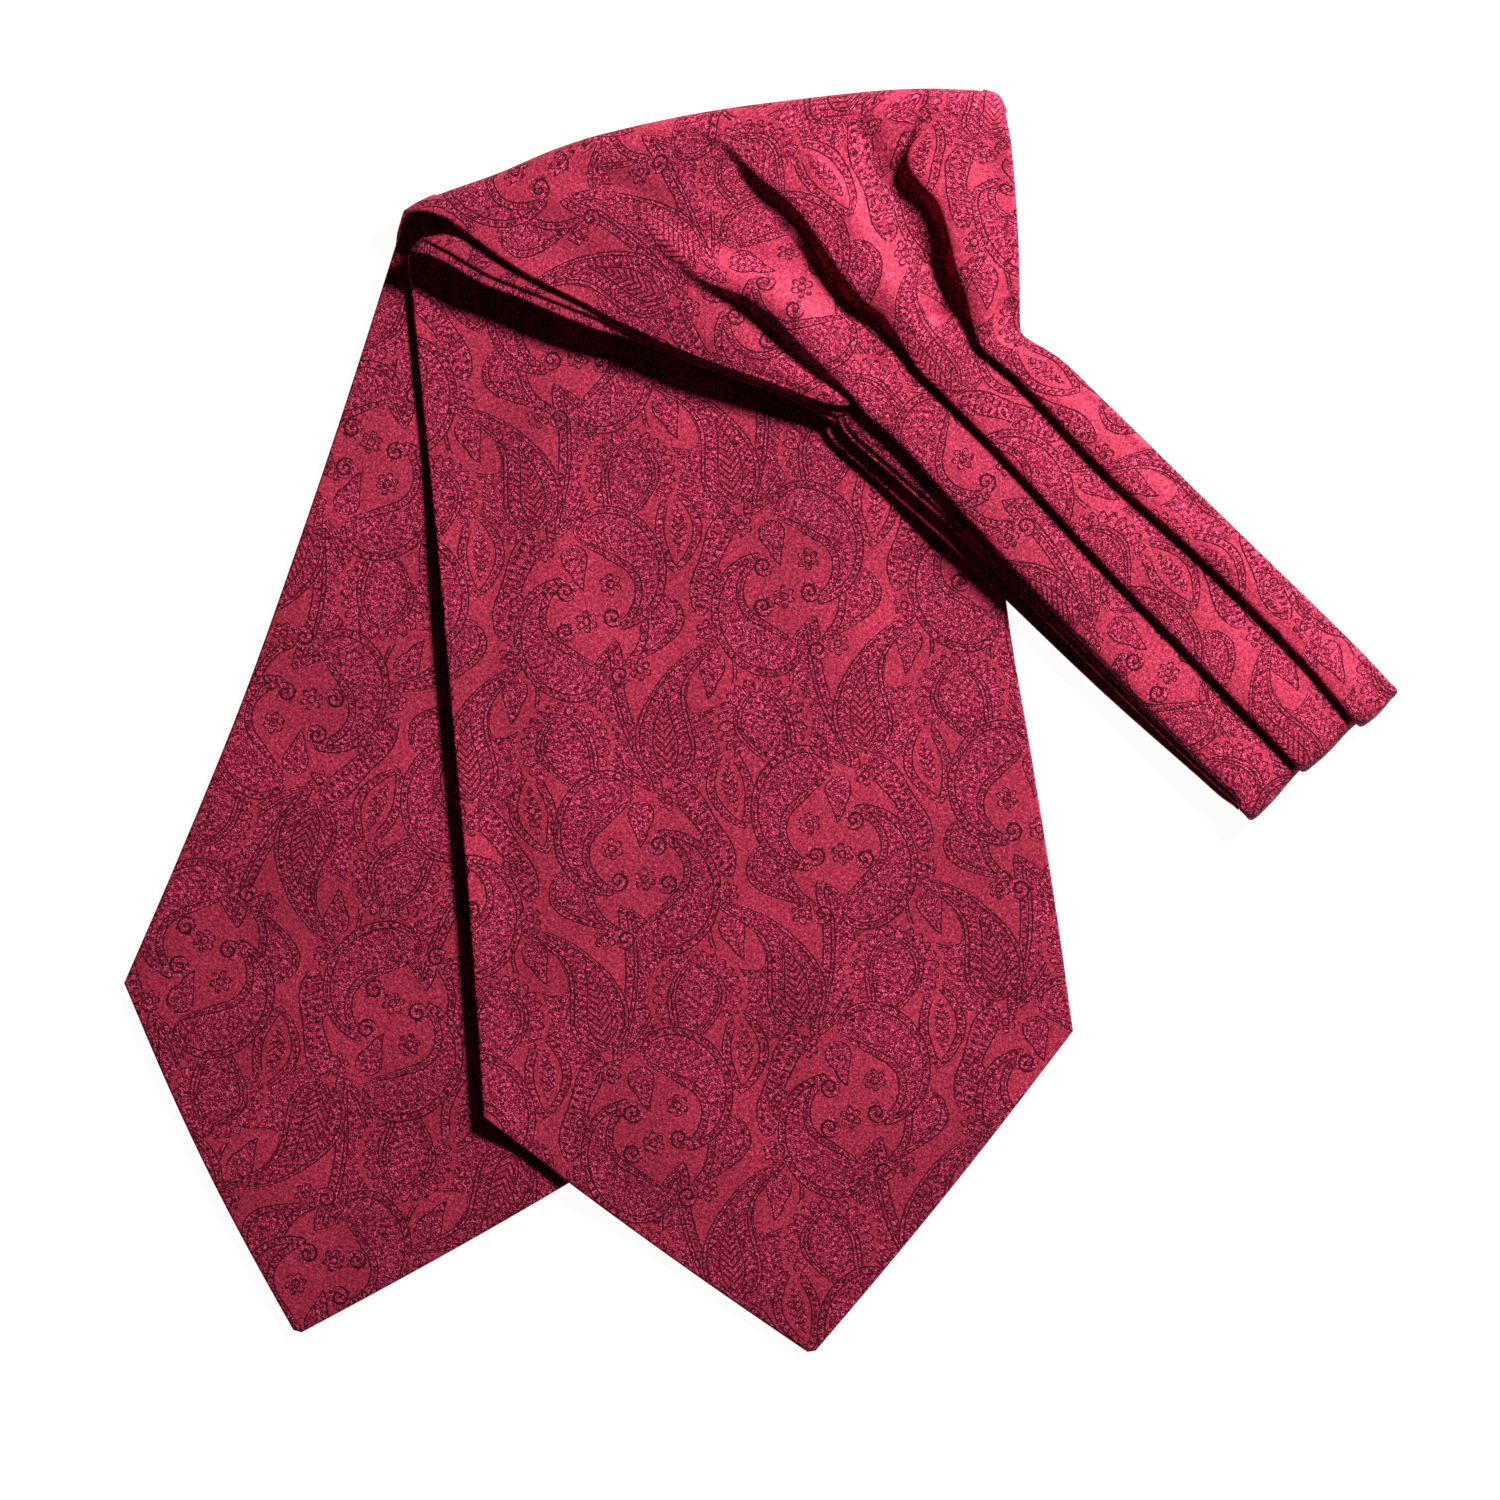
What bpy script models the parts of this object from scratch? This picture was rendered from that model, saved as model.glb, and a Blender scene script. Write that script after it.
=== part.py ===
"""Silk cravat, folded in half at the middle of its neckband and laid flat.

The outer cloth is the back blade, which turns over at the top, gathers in a fan and becomes three knife
pleats. The inner cloth lies inside it: the front blade, its own turn and fan, and the lower half of the
neckband. Each stretch is one closed solid. Plan sizes are in millimetres from the middle of the cravat's
outline, X to the right and Y to the top; heights are above the surface that it lies on.
"""
import math
from bisect import bisect_right

import bmesh
import bpy
from mathutils import Vector
from mathutils.geometry import tessellate_polygon

MM = 0.001

# Thicknesses, in millimetres
BLADE = 1.3        # silk and lining of a blade
SILK = 1.2         # the fan's wall
PLY = 1.0          # one layer of a pleat
GAP = 0.3          # between two stretches that lie on each other
BED = 3.3          # top of both blades and the gaps, where the fans and the band lie
BAND = 4.0         # the neckband's lower half
FOLD_RISE = 1.3    # from one layer of a pleat to the next

# The back blade: left edge from the top down, shoulders, point, and the hidden right edge
BACK_LEFT = [(-98.4, 128.3), (-99.9, 123.2), (-112.4, 83.2), (-125.7, 43.2), (-139.9, 3.2), (-156.1, -36.8),
             (-170.2, -69.6)]
BACK_POINT = (-124.3, -163.5)
BACK_RIGHT = [(61.0, 156.1), (14.0, 22.0), (-32.4, -111.5)]

# The front blade in the same way
FRONT_LEFT = [(-94.6, 124.2), (-90.8, 85.9), (-86.8, 46.7), (-82.3, -5.1), (-78.5, -47.5), (-74.5, -105.3)]
FRONT_POINT = (13.2, -168.8)
FRONT_RIGHT = [(53.5, 151.0), (65.0, 32.3), (71.9, -10.1), (78.3, -50.1), (82.8, -82.4)]
FRONT_TOP = [(-94.6, 124.2), (-69.0, 134.5), (-42.0, 144.0), (-15.5, 150.5), (10.5, 155.0), (34.5, 156.5), (53.5, 151.0)]
DROP = 24.0        # length over which the front blade comes down to the surface beside the back blade
EDGE_LIFT = 1.2    # how far the front blade's left edge stands off
EDGE_CURL = 14.0   # width of that lift

# The top turn, left to right, where the outer cloth reaches furthest
TURN = [(-94.5, 136.8), (-88.7, 139.2), (-70.0, 145.3), (-56.7, 151.2), (-43.3, 156.3), (-16.7, 162.4),
        (10.0, 166.1), (36.7, 168.8), (55.5, 168.3), (64.1, 164.8)]
TURN_RADIUS = 5.5  # of the turn, in plan
TURN_ANGLES = (-90, -62, -34, 0, 30, 60)  # degrees round it
TURN_ROWS = 1 + len(TURN_ANGLES)          # rows of the outer cloth before the fan's own
TURN_LIP = 9.0     # how far the turn runs back below, where the back blade takes over
LIP_LEFT = (-0.42, -0.91)    # direction of that run at the left end
LIP_RIGHT = (-0.33, -0.94)   # and at the right end

# Lines of the outer fan from the turn to the waist, left to right. Each has its share of the turn, its plan points
# below the turn, its height on the crest and at the foot of its steep left side at the four stations below, and
# the width of that side.
STATIONS = (0.0, 0.33, 0.66, 1.0)
FAN = [
    ("flap", 0.0, [(-88.4, 137.3), (-83.3, 134.4), (-70.0, 125.9), (-56.7, 116.5), (-43.3, 108.5), (-32.7, 102.6),
                   (-16.7, 99.2), (-3.3, 95.2), (10.0, 89.1), (26.0, 83.2)],
     (9.0, 8.6, 8.4, 8.2), None, None),
    ("third", 0.34, [(-34.0, 138.0), (-16.7, 116.5), (-6.0, 113.6), (7.3, 101.9), (15.3, 93.0), (27.0, 82.6)],
     (10.4, 10.8, 12.4, 9.9), (10.4, 10.6, 9.2, 8.5), (3.0, 3.0, 3.5, 1.4)),
    ("second", 0.47, [(-16.7, 157.0), (-8.7, 152.5), (-0.7, 144.5), (10.0, 135.2), (18.0, 123.2), (26.0, 112.5),
                      (32.7, 107.0), (41.0, 93.6)],
     (10.8, 13.4, 13.2, 11.2), (10.6, 9.2, 8.8, 8.6), (2.0, 4.5, 3.2, 1.4)),
    ("first", 0.87, [(42.3, 157.9), (39.3, 148.5), (42.0, 141.9), (46.0, 136.5), (48.7, 128.5), (51.3, 120.5),
                     (54.0, 112.5), (57.2, 100.0)],
     (11.8, 14.0, 13.4, 11.2), (11.4, 9.8, 9.0, 8.6), (2.0, 3.5, 2.6, 1.4)),
    ("edge", 1.0, [(66.3, 152.5), (68.1, 128.5), (68.7, 102.9)],
     (11.0, 9.6, 9.0, 9.4), None, None),
]
SPANS = (9, 6, 10, 6)        # columns between those lines
SWELL = (1.0, 0.4, 0.8, 0.5)  # how far the cloth bulges between them
FAN_ROWS = 11
FAN_LENGTH = 60.0   # of a typical line, from the turn to the waist
TURN_SHARE = TURN_RADIUS / FAN_LENGTH

# The inner fan's layered edge, from the turn to the waist
INNER_EDGE = [(-94.6, 125.4), (-83.3, 119.4), (-70.0, 113.9), (-56.7, 109.3), (-43.3, 104.5), (-30.0, 100.5),
              (-16.7, 94.4), (-3.3, 88.0), (10.0, 80.5), (18.6, 75.4)]
INNER_INSET = 2.0  # from the outer cloth's right edge
INNER_ROOM = 0.6   # between it and the outer fan's wall
INNER_END = 0.93   # of its last row's length, short of the neckband
NOSE = 0.55        # of its height, at its rounded end inside the turn
LAYERS = 3         # layers that show along an edge of the inner cloth

# The neckband has its own axes: along it to its end, and across it to the upper right
BAND_ORIGIN = Vector((129.5, -24.8))
BAND_ANGLE = math.radians(-43.46)
ALONG = Vector((math.cos(BAND_ANGLE), math.sin(BAND_ANGLE)))
ACROSS = Vector((-ALONG.y, ALONG.x))
# Lines of the neckband in those axes, each from the waist to where its end begins to turn under
EDGE_LINE = [(-132.0, 50.9), (-127.0, 52.2), (-119.9, 53.6), (-105.0, 53.6), (-60.0, 53.0), (-12.0, 52.4), (3.2, 51.6)]
CREST_1 = [(-138.3, 40.6), (-123.0, 41.4), (-91.6, 39.6), (-56.0, 40.5), (-18.4, 39.5), (0.7, 37.4)]
CREST_2 = [(-146.1, 25.0), (-113.9, 24.0), (-74.7, 21.4), (-36.3, 19.7), (-2.1, 18.1)]
CREST_3 = [(-149.6, 7.0), (-134.7, 7.2), (-95.2, 4.3), (-56.7, 2.5), (-18.5, 0.9), (-2.1, 0.1)]
LOWER_EDGE = [(-148.6, -4.1), (-142.4, -4.1), (-106.9, -2.9), (-51.6, -3.0), (-15.9, -1.8), (-2.0, -1.7)]
BAND_ROWS = 15
WAIST_GAP = 0.008  # share of the band that parts it from the fans
END_TURN = (18, 38, 60, 85, 112, 138)  # degrees of the turned-under end
END_ROOM = 0.972   # share of the band at which its lower half ends, inside that turn
BED_FROM, BED_OVER = -135.0, 105.0     # where the band starts to come down, and over what length

# Each pleat: its left edge and the two lines to its right, the height of its turned-under layer above the lower
# band, the length of that layer, and how far the pleat runs on under the next one
PLEATS = [
    ("pleat_1", CREST_1, EDGE_LINE, EDGE_LINE, 1.6, 6.0, 0.0),
    ("pleat_2", CREST_2, CREST_1, EDGE_LINE, 1.6, 7.0, 8.0),
    ("pleat_3", CREST_3, CREST_2, CREST_1, 0.3, 7.0, 8.0),
]

# Cloth colours, as linear red, green and blue
SILK_FRONT = (0.36, 0.030, 0.065, 1.0)
SILK_BACK = (0.26, 0.018, 0.045, 1.0)
SILK_FAN = (0.42, 0.036, 0.080, 1.0)
SILK_BAND = (0.31, 0.024, 0.060, 1.0)


def smooth(t):
    """Eases from 0 to 1."""
    t = min(max(t, 0.0), 1.0)
    return t * t * (3.0 - 2.0 * t)


def follow(points, share):
    """The point at a share of the way along a smooth line through the points."""
    points = [Vector(p) for p in points]
    reach = [0.0]
    for a, b in zip(points, points[1:]):
        reach.append(reach[-1] + (b - a).length)
    at = min(max(share, 0.0), 1.0) * reach[-1]
    i = min(bisect_right(reach, at), len(points) - 1) - 1
    span = reach[i + 1] - reach[i]
    t = (at - reach[i]) / span
    last = len(points) - 1

    def slope(k):
        a, b = max(k - 1, 0), min(k + 1, last)
        return (points[b] - points[a]) * (span / (reach[b] - reach[a]))

    t2, t3 = t * t, t * t * t
    return (points[i] * (2 * t3 - 3 * t2 + 1) + slope(i) * (t3 - 2 * t2 + t)
            + points[i + 1] * (3 * t2 - 2 * t3) + slope(i + 1) * (t3 - t2))


def station(values, t):
    """A value from a table with one entry for each of the STATIONS."""
    i = min(bisect_right(STATIONS, t), len(STATIONS) - 1) - 1
    part = smooth((t - STATIONS[i]) / (STATIONS[i + 1] - STATIONS[i]))
    return values[i] + (values[i + 1] - values[i]) * part


def cloth(name, colour):
    """A woven silk material."""
    material = bpy.data.materials.new(name)
    material.use_nodes = True
    shader = material.node_tree.nodes["Principled BSDF"]
    shader.inputs["Base Color"].default_value = colour
    shader.inputs["Roughness"].default_value = 0.5
    shader.inputs["Metallic"].default_value = 0.0
    return material


def add_solid(name, corners, faces, material):
    """Adds one closed solid whose corners are in millimetres."""
    mesh = bpy.data.meshes.new(name)
    mesh.from_pydata([Vector(c) * MM for c in corners], [], faces)
    work = bmesh.new()
    work.from_mesh(mesh)
    bmesh.ops.recalc_face_normals(work, faces=work.faces)
    bmesh.ops.triangulate(work, faces=work.faces)
    work.to_mesh(mesh)
    work.free()
    mesh.materials.append(material)
    solid = bpy.data.objects.new(name, mesh)
    bpy.context.collection.objects.link(solid)
    return solid


def slab(name, upper, lower, material):
    """Closes the room between two grids of the same size."""
    rows, columns = len(upper), len(upper[0])
    corners = [c for grid in (upper, lower) for row in grid for c in row]
    below = rows * columns
    faces = []
    for r in range(rows - 1):
        for c in range(columns - 1):
            i = r * columns + c
            quad = (i, i + 1, i + columns + 1, i + columns)
            faces.append(quad)
            faces.append(tuple(below + k for k in reversed(quad)))
    rim = [c for c in range(columns)]
    rim += [r * columns + columns - 1 for r in range(1, rows)]
    rim += [(rows - 1) * columns + c for c in range(columns - 2, -1, -1)]
    rim += [r * columns for r in range(rows - 2, 0, -1)]
    for a, b in zip(rim, rim[1:] + rim[:1]):
        faces.append((b, a, below + a, below + b))
    return add_solid(name, corners, faces, material)


def loft(name, sections, material):
    """Joins closed sections of equal count, and closes both ends."""
    count = len(sections[0])
    corners = [c for section in sections for c in section]
    faces = []
    for s in range(len(sections) - 1):
        for k in range(count):
            a, b = s * count + k, s * count + (k + 1) % count
            faces.append((a, b, b + count, a + count))
    for s in (0, len(sections) - 1):
        section = [Vector(c) for c in sections[s]]
        facing = sum((a.cross(b) for a, b in zip(section, section[1:] + section[:1])), Vector())
        widest = max(section, key=lambda c: (c - section[0]).length)
        side = (widest - section[0]).normalized()
        other = facing.cross(side).normalized()
        flat = [Vector((c.dot(side), c.dot(other), 0.0)) for c in section]
        for triangle in tessellate_polygon([flat]):
            faces.append(tuple(s * count + k for k in triangle))
    return add_solid(name, corners, faces, material)


def moved_in(grid, depth):
    """A grid moved along its own normals, to its right-hand side by rows and columns."""
    rows, columns = len(grid), len(grid[0])
    out = []
    for r in range(rows):
        line = []
        for c in range(columns):
            down = grid[min(r + 1, rows - 1)][c] - grid[max(r - 1, 0)][c]
            right = grid[r][min(c + 1, columns - 1)] - grid[r][max(c - 1, 0)]
            line.append(grid[r][c] + down.cross(right).normalized() * -depth)
        out.append(line)
    return out


def blade_plan(left, point, right, top, across, down):
    """A place on a blade: across it from 0 to 1, and down it from 0 at the top to 1 along its pointed end."""
    sides = follow(left, down).lerp(follow(right, down), across)
    start, end = follow(left, 1.0), follow(right, 1.0)
    tip = Vector(point)
    foot = start.lerp(tip, across * 2) if across < 0.5 else tip.lerp(end, across * 2 - 1)
    head = follow(top, across)
    return (sides + (head - follow(left, 0.0).lerp(follow(right, 0.0), across)) * (1 - down)
            + (foot - start.lerp(end, across)) * smooth(down))


def beside(place, start, end):
    """How far a place lies to the right of a line, looking from its start to its end."""
    way = (Vector(end) - Vector(start)).normalized()
    off = place - Vector(start)
    return off.y * way.x - off.x * way.y


def front_underside(place):
    """Height of the front blade's underside: on the back blade, then down to the surface beside it."""
    right = beside(place, BACK_RIGHT[0], BACK_RIGHT[-1])
    below = beside(place, BACK_RIGHT[-1], BACK_POINT)
    outside = max(right, below)
    return (BLADE + GAP) * (1 - smooth(outside / DROP))


def lip_way(share):
    """Direction in which the turn runs back below, at a share of its width."""
    return Vector(LIP_LEFT).lerp(Vector(LIP_RIGHT), share).normalized()


def back_blade():
    """The lower blade, flat on the surface."""
    across, down = 18, 22
    upper, lower = [], []
    top = [follow(TURN, c / across) + lip_way(c / across) * (TURN_LIP + GAP) for c in range(across + 1)]
    for r in range(down + 1):
        row = [blade_plan(BACK_LEFT, BACK_POINT, BACK_RIGHT, top, c / across, r / down) for c in range(across + 1)]
        upper.append([p.to_3d() + Vector((0, 0, BLADE)) for p in row])
        lower.append([p.to_3d() for p in row])
    slab("back_blade", upper, lower, cloth("Lined silk, back blade", SILK_BACK))


def front_blade():
    """The upper blade, which lies on the back one and beside it on the surface."""
    across, down = 26, 30
    upper, lower = [], []
    for r in range(down + 1):
        row = [blade_plan(FRONT_LEFT, FRONT_POINT, FRONT_RIGHT, FRONT_TOP, c / across, r / down)
               for c in range(across + 1)]
        low = []
        for c, place in enumerate(row):
            left = (place - row[0]).length
            curl = EDGE_LIFT * (1 - smooth(left / EDGE_CURL)) * smooth((r / down - 0.2) * 4)
            low.append(place.to_3d() + Vector((0, 0, front_underside(place) + curl)))
        lower.append(low)
        upper.append([p + Vector((0, 0, BLADE)) for p in low])
    slab("front_blade", upper, lower, cloth("Lined silk, front blade", SILK_FRONT))


def fan_row(share):
    """One row of the outer fan's top, at a share of the way from the turn to the waist, with its heights."""
    t = max(0.0, (share - TURN_SHARE) / (1.0 - TURN_SHARE))
    row = []
    for k, span in enumerate(SPANS):
        _, left_at, left, left_crest, _, _ = FAN[k]
        _, right_at, right, right_crest, right_foot, right_face = FAN[k + 1]
        head_a, head_b = follow(TURN, left_at), follow(TURN, right_at)
        a, b = follow([head_a] + left, share), follow([head_b] + right, share)
        high = station(left_crest, t)
        low = station(right_foot or right_crest, t)
        width = station(right_face, t) if right_face else 0.0
        reach = 1 - width / (b - a).length
        for i in range(span + 1):
            f = i / span
            place = a.lerp(b, f * reach)
            bow = follow(TURN, left_at + (right_at - left_at) * f * reach) - head_a.lerp(head_b, f * reach)
            place = place + bow * (1 - smooth(share))
            z = high + (low - high) * smooth(f) + SWELL[k] * math.sin(math.pi * f) * math.sin(math.pi * t)
            row.append(Vector((place.x, place.y, z)))
    return row


def outer_grid():
    """The outer cloth's top side, from below the turn, round it, and on to the waist."""
    first = fan_row(0.0)
    columns = len(first)
    rows = []
    lip = [lip_way(c / (columns - 1)) for c in range(columns)]
    rows.append([Vector((p.x + d.x * TURN_LIP, p.y + d.y * TURN_LIP, 0.0)) for p, d in zip(first, lip)])
    for degrees in TURN_ANGLES:
        angle = math.radians(degrees)
        inward = 1 - math.cos(angle)
        if degrees <= 0:
            row = [p.xy + d * TURN_RADIUS * inward for p, d in zip(first, lip)]
        else:
            row = [p.xy for p in fan_row(TURN_SHARE * inward)]
        rows.append([Vector((q.x, q.y, p.z / 2 * (1 + math.sin(angle)))) for p, q in zip(first, row)])
    for k in range(FAN_ROWS):
        rows.append(fan_row(TURN_SHARE + (1 - TURN_SHARE) * k / (FAN_ROWS - 1)))
    return rows


def outer_fan(grid):
    """The turn and the fan as one wall."""
    inside = moved_in(grid, SILK)
    for row in inside[:2]:
        for corner in row:
            corner.z = SILK
    slab("outer_fan", grid, inside, cloth("Silk jacquard, outer fan", SILK_FAN))


def lips(edge, inner, low, high, layers):
    """Layered edge of a folded stack, from its top down: each layer's rounded edge, with a groove below it."""
    rise = (high - low) / layers
    way = (inner - edge)
    out = []
    for k in range(layers - 1, -1, -1):
        at = edge + way * (k / layers)
        groove = at + way.normalized() * 1.3
        base, top = low + rise * k, low + rise * (k + 1) - 0.15
        for place, z in ((at.lerp(groove, 0.45), top), (at, top - rise * 0.25), (at, base + rise * 0.3),
                         (at.lerp(groove, 0.45), base + 0.05), (groove, base)):
            out.append(Vector((place.x, place.y, z)))
    return out[:-1]


def inner_fan(grid):
    """The inner cloth's turn and fan, one rounded solid that fills the outer fan, layered at its left edge."""
    under = moved_in(grid, SILK + INNER_ROOM)[TURN_ROWS:]
    rows = len(under)
    sections = []
    for r, row in enumerate(under):
        edge = follow(INNER_EDGE, r / (rows - 1))
        right = row[-1].xy + (row[-2].xy - row[-1].xy).normalized() * INNER_INSET
        row[-1] = Vector((right.x, right.y, row[-1].z - GAP))
        left = row[0].xy.lerp(row[1].xy, 0.35)
        top = row[:0:-1]
        side = lips(edge, left, BED, row[0].z - GAP, LAYERS)
        bottom = [Vector((p.x, p.y, BED)) for p in row[1:]]
        section = top + side + bottom
        if r == 0:
            middle = (BED + top[0].z) / 2
            section = [Vector((p.x, p.y, middle + (p.z - middle) * NOSE)) for p in section]
        sections.append(section)
    sections[-1] = [q.lerp(p, INNER_END) for p, q in zip(sections[-1], sections[-2])]
    loft("inner_fan", sections, cloth("Silk jacquard, inner fan", SILK_FAN))


def on_band(line, share):
    """Plan place at a share of the way along one of the neckband's lines."""
    a, c = follow(line, share)
    return BAND_ORIGIN + ALONG * a + ACROSS * c


def band_bed(place):
    """Height of the neckband's underside: on the blades at the waist, on the surface at its end."""
    a = (place - BAND_ORIGIN).dot(ALONG)
    return BED * (1 - smooth((a - BED_FROM) / BED_OVER))


def ribbon(path, ply):
    """Closed outline of a layer whose middle runs along a path."""
    left, right = [], []
    for k, (x, z) in enumerate(path):
        ax, az = path[max(k - 1, 0)]
        bx, bz = path[min(k + 1, len(path) - 1)]
        way = Vector((bx - ax, bz - az)).normalized()
        side = Vector((-way.y, way.x)) * (ply / 2)
        left.append((x + side.x, z + side.y))
        right.append((x - side.x, z - side.y))
    return left + right[::-1]


def pleat_outline(width, lift, turned, tail):
    """Cross-section of a pleat: over from the right, round its left edge, and back below."""
    bend = FOLD_RISE / 2
    top = lift + PLY / 2 + FOLD_RISE
    low = GAP + PLY / 2
    path = []
    if tail:
        path += [(width + tail, low), (width + tail / 2, low), (width, low), (width * 0.86, low + (top - low) * 0.16)]
        path += [(width * 0.68, low + (top - low) * 0.55), (turned + 1.0, top)]
    else:
        path += [(width - 0.5, top - 2.6), (width - 0.6, top - 1.9), (width - 1.2, top - 1.3), (width * 0.72, top - 0.6)]
        path += [(turned + 0.6, top)]
    centre = bend + PLY / 2
    path.append((centre + 2.0, top))
    for degrees in (90, 130, 180, 230, 270):
        angle = math.radians(degrees)
        path.append((centre + bend * math.cos(angle), top - bend + bend * math.sin(angle)))
    path += [(turned * 0.55, top - FOLD_RISE), (turned, top - FOLD_RISE)]
    return ribbon(path, PLY)


def across_pleats(here, there, after, s):
    """A place s to the right of a pleat's edge, bent at the next pleat's edge as the waist is."""
    width = (there - here).length
    if s <= width or after == there:
        return here + (there - here) * (s / width)
    return there + (after - there).normalized() * (s - width)


def pleat(name, crest, beyond, last, lift, turned, tail):
    """One knife pleat of the neckband, with its end turned down."""
    sections = []
    for r in range(BAND_ROWS + 1):
        share = WAIST_GAP + (1 - WAIST_GAP) * r / BAND_ROWS
        here, there, after = on_band(crest, share), on_band(beyond, share), on_band(last, share)
        outline = pleat_outline((there - here).length, lift, turned, tail)
        section = []
        for s, n in outline:
            place = across_pleats(here, there, after, s)
            section.append(Vector((place.x, place.y, band_bed(place) + BAND + n)))
        sections.append(section)
    radius = BAND / 2
    for degrees in END_TURN:
        angle = math.radians(degrees)
        section = []
        for s, n in outline:
            place = across_pleats(here, there, after, s) + ALONG * (radius + n) * math.sin(angle)
            z = radius + (radius + n) * math.cos(angle) if degrees < 90 else radius + (radius - 0.1) * math.cos(angle)
            section.append(Vector((place.x, place.y, z)))
        sections.append(section)
    loft(name, sections, cloth("Silk jacquard, " + name, SILK_BAND))


def lower_band():
    """The neckband's lower half as one rounded solid, layered along its left edge."""
    sections = []
    for r in range(BAND_ROWS + 1):
        share = WAIST_GAP + (END_ROOM - WAIST_GAP) * r / BAND_ROWS
        edge, crest = on_band(LOWER_EDGE, share), on_band(CREST_3, share)
        right = on_band(EDGE_LINE, share)
        side = (right - edge).normalized()
        right = right - side * 2.2
        inner = edge + side * ((crest - edge).length * 0.75)
        section = [Vector((right.x, right.y, 0.4)), Vector((right.x, right.y, BAND - 0.5))]
        for f in (0.985, 0.8, 0.6, 0.4, 0.2):
            place = inner.lerp(right, f)
            section.append(Vector((place.x, place.y, BAND)))
        section += lips(edge, inner, 0.0, BAND, LAYERS)
        for f in (0.2, 0.4, 0.6, 0.8, 0.985):
            place = edge.lerp(right, f)
            section.append(Vector((place.x, place.y, 0.0)))
        for corner in section:
            corner.z += band_bed(corner.xy)
        sections.append(section)
    for degrees in (35, 62):
        angle = math.radians(degrees)
        section = []
        for p in sections[BAND_ROWS]:
            place = p.xy + ALONG * (BAND / 2) * math.sin(angle)
            section.append(Vector((place.x, place.y, BAND / 2 + (p.z - BAND / 2) * math.cos(angle))))
        sections.append(section)
    loft("lower_band", sections, cloth("Silk jacquard, lower band", SILK_BAND))


def main():
    """Builds the cravat."""
    for old in list(bpy.data.objects):
        bpy.data.objects.remove(old)
    back_blade()
    front_blade()
    grid = outer_grid()
    outer_fan(grid)
    inner_fan(grid)
    for row in PLEATS:
        pleat(*row)
    lower_band()


main()
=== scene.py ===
"""Silk cravat, folded in half at the middle of its neckband and laid flat.

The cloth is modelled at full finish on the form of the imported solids: two lined blades, the inner cloth
between them, and the outer cloth that turns over at the top, gathers in a fan and runs on as three knife
pleats.
Plan sizes are in millimetres from the middle of the cravat's outline, X to the right and Y to the top.
"""
import math
from bisect import bisect_right

import bmesh
import bpy
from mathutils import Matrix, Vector
from mathutils.bvhtree import BVHTree


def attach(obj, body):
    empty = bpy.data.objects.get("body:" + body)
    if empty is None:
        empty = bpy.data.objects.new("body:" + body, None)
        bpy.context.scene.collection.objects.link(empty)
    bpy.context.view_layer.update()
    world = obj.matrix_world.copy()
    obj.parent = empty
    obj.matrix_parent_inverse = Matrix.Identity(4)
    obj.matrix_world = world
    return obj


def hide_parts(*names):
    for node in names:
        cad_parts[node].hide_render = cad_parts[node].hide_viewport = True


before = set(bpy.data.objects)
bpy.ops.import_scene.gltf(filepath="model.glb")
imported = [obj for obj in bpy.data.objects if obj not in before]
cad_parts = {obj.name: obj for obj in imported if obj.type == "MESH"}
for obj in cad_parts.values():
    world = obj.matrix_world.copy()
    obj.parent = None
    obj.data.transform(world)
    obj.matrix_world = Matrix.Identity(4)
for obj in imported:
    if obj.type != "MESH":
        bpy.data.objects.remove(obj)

bl_info = {
    "name": "Silk cravat",
    "version": (1, 0, 0),
    "blender": (4, 5, 0),
    "location": "3D View > Sidebar > Cravat",
    "description": "Builds a pleated jacquard silk cravat that lies flat, with its stage",
    "category": "Object",
}

MM = 0.001

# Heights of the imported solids, in millimetres
BLADE = 1.3        # silk and lining of a blade
OUTER = 0.6        # wall of the outer cloth
GAP = 0.3          # between two stretches that lie on each other
BED = 3.3          # where the fans and the band lie
BAND = 4.0         # the neckband's lower half

# The back blade: left edge from the top down, point, and the hidden right edge
BACK_LEFT = [(-98.4, 128.3), (-99.9, 123.2), (-112.4, 83.2), (-125.7, 43.2), (-139.9, 3.2), (-156.1, -36.8),
             (-170.2, -69.6)]
BACK_POINT = (-124.3, -163.5)
BACK_RIGHT = [(61.0, 156.1), (14.0, 22.0), (-32.4, -111.5)]
BACK_BOW = (2.0, 0.8)      # how far the two sides of its point bow out
BACK_WIDTH = 145.0
BACK_GRAIN = (math.radians(18.5), -1)   # turn of its cloth map, and which end of the cloth is up

# The front blade in the same way
FRONT_LEFT = [(-94.6, 124.2), (-90.8, 85.9), (-86.8, 46.7), (-82.3, -5.1), (-78.5, -47.5), (-74.5, -105.3)]
FRONT_POINT = (13.2, -168.8)
FRONT_RIGHT = [(53.5, 151.0), (65.0, 32.3), (71.9, -10.1), (78.3, -50.1), (82.8, -82.4)]
FRONT_TOP = [(-94.6, 124.2), (-69.0, 134.5), (-42.0, 144.0), (-15.5, 150.5), (10.5, 155.0), (34.5, 156.5),
             (53.5, 151.0)]
FRONT_BOW = (1.0, 1.0)
FRONT_WIDTH = 158.0
FRONT_GRAIN = (math.radians(-7.3), 1)
BLADE_LENGTH = 300.0
BACK_TOP_STEPS = 18    # stretches of the back blade's top edge, which follows the turn
MERGE = 0.004      # corners closer than this become one
BLADE_STEP = 2.2   # of a blade's mesh
HIDDEN = 0.004     # share of its length below the turn that needs no fine steps
POINT_SLOPE = 0.72     # distance from a blade's slanting end, as a share of that along its length
BACK_SOFTNESS = 0.8    # how high the back blade's folds stand, as a share
DROP = 24.0        # length over which the front blade comes down to the surface beside the back blade
EDGE_LIFT = 1.2    # how far the front blade's left edge stands off
EDGE_CURL = 14.0   # width of that lift

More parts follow.
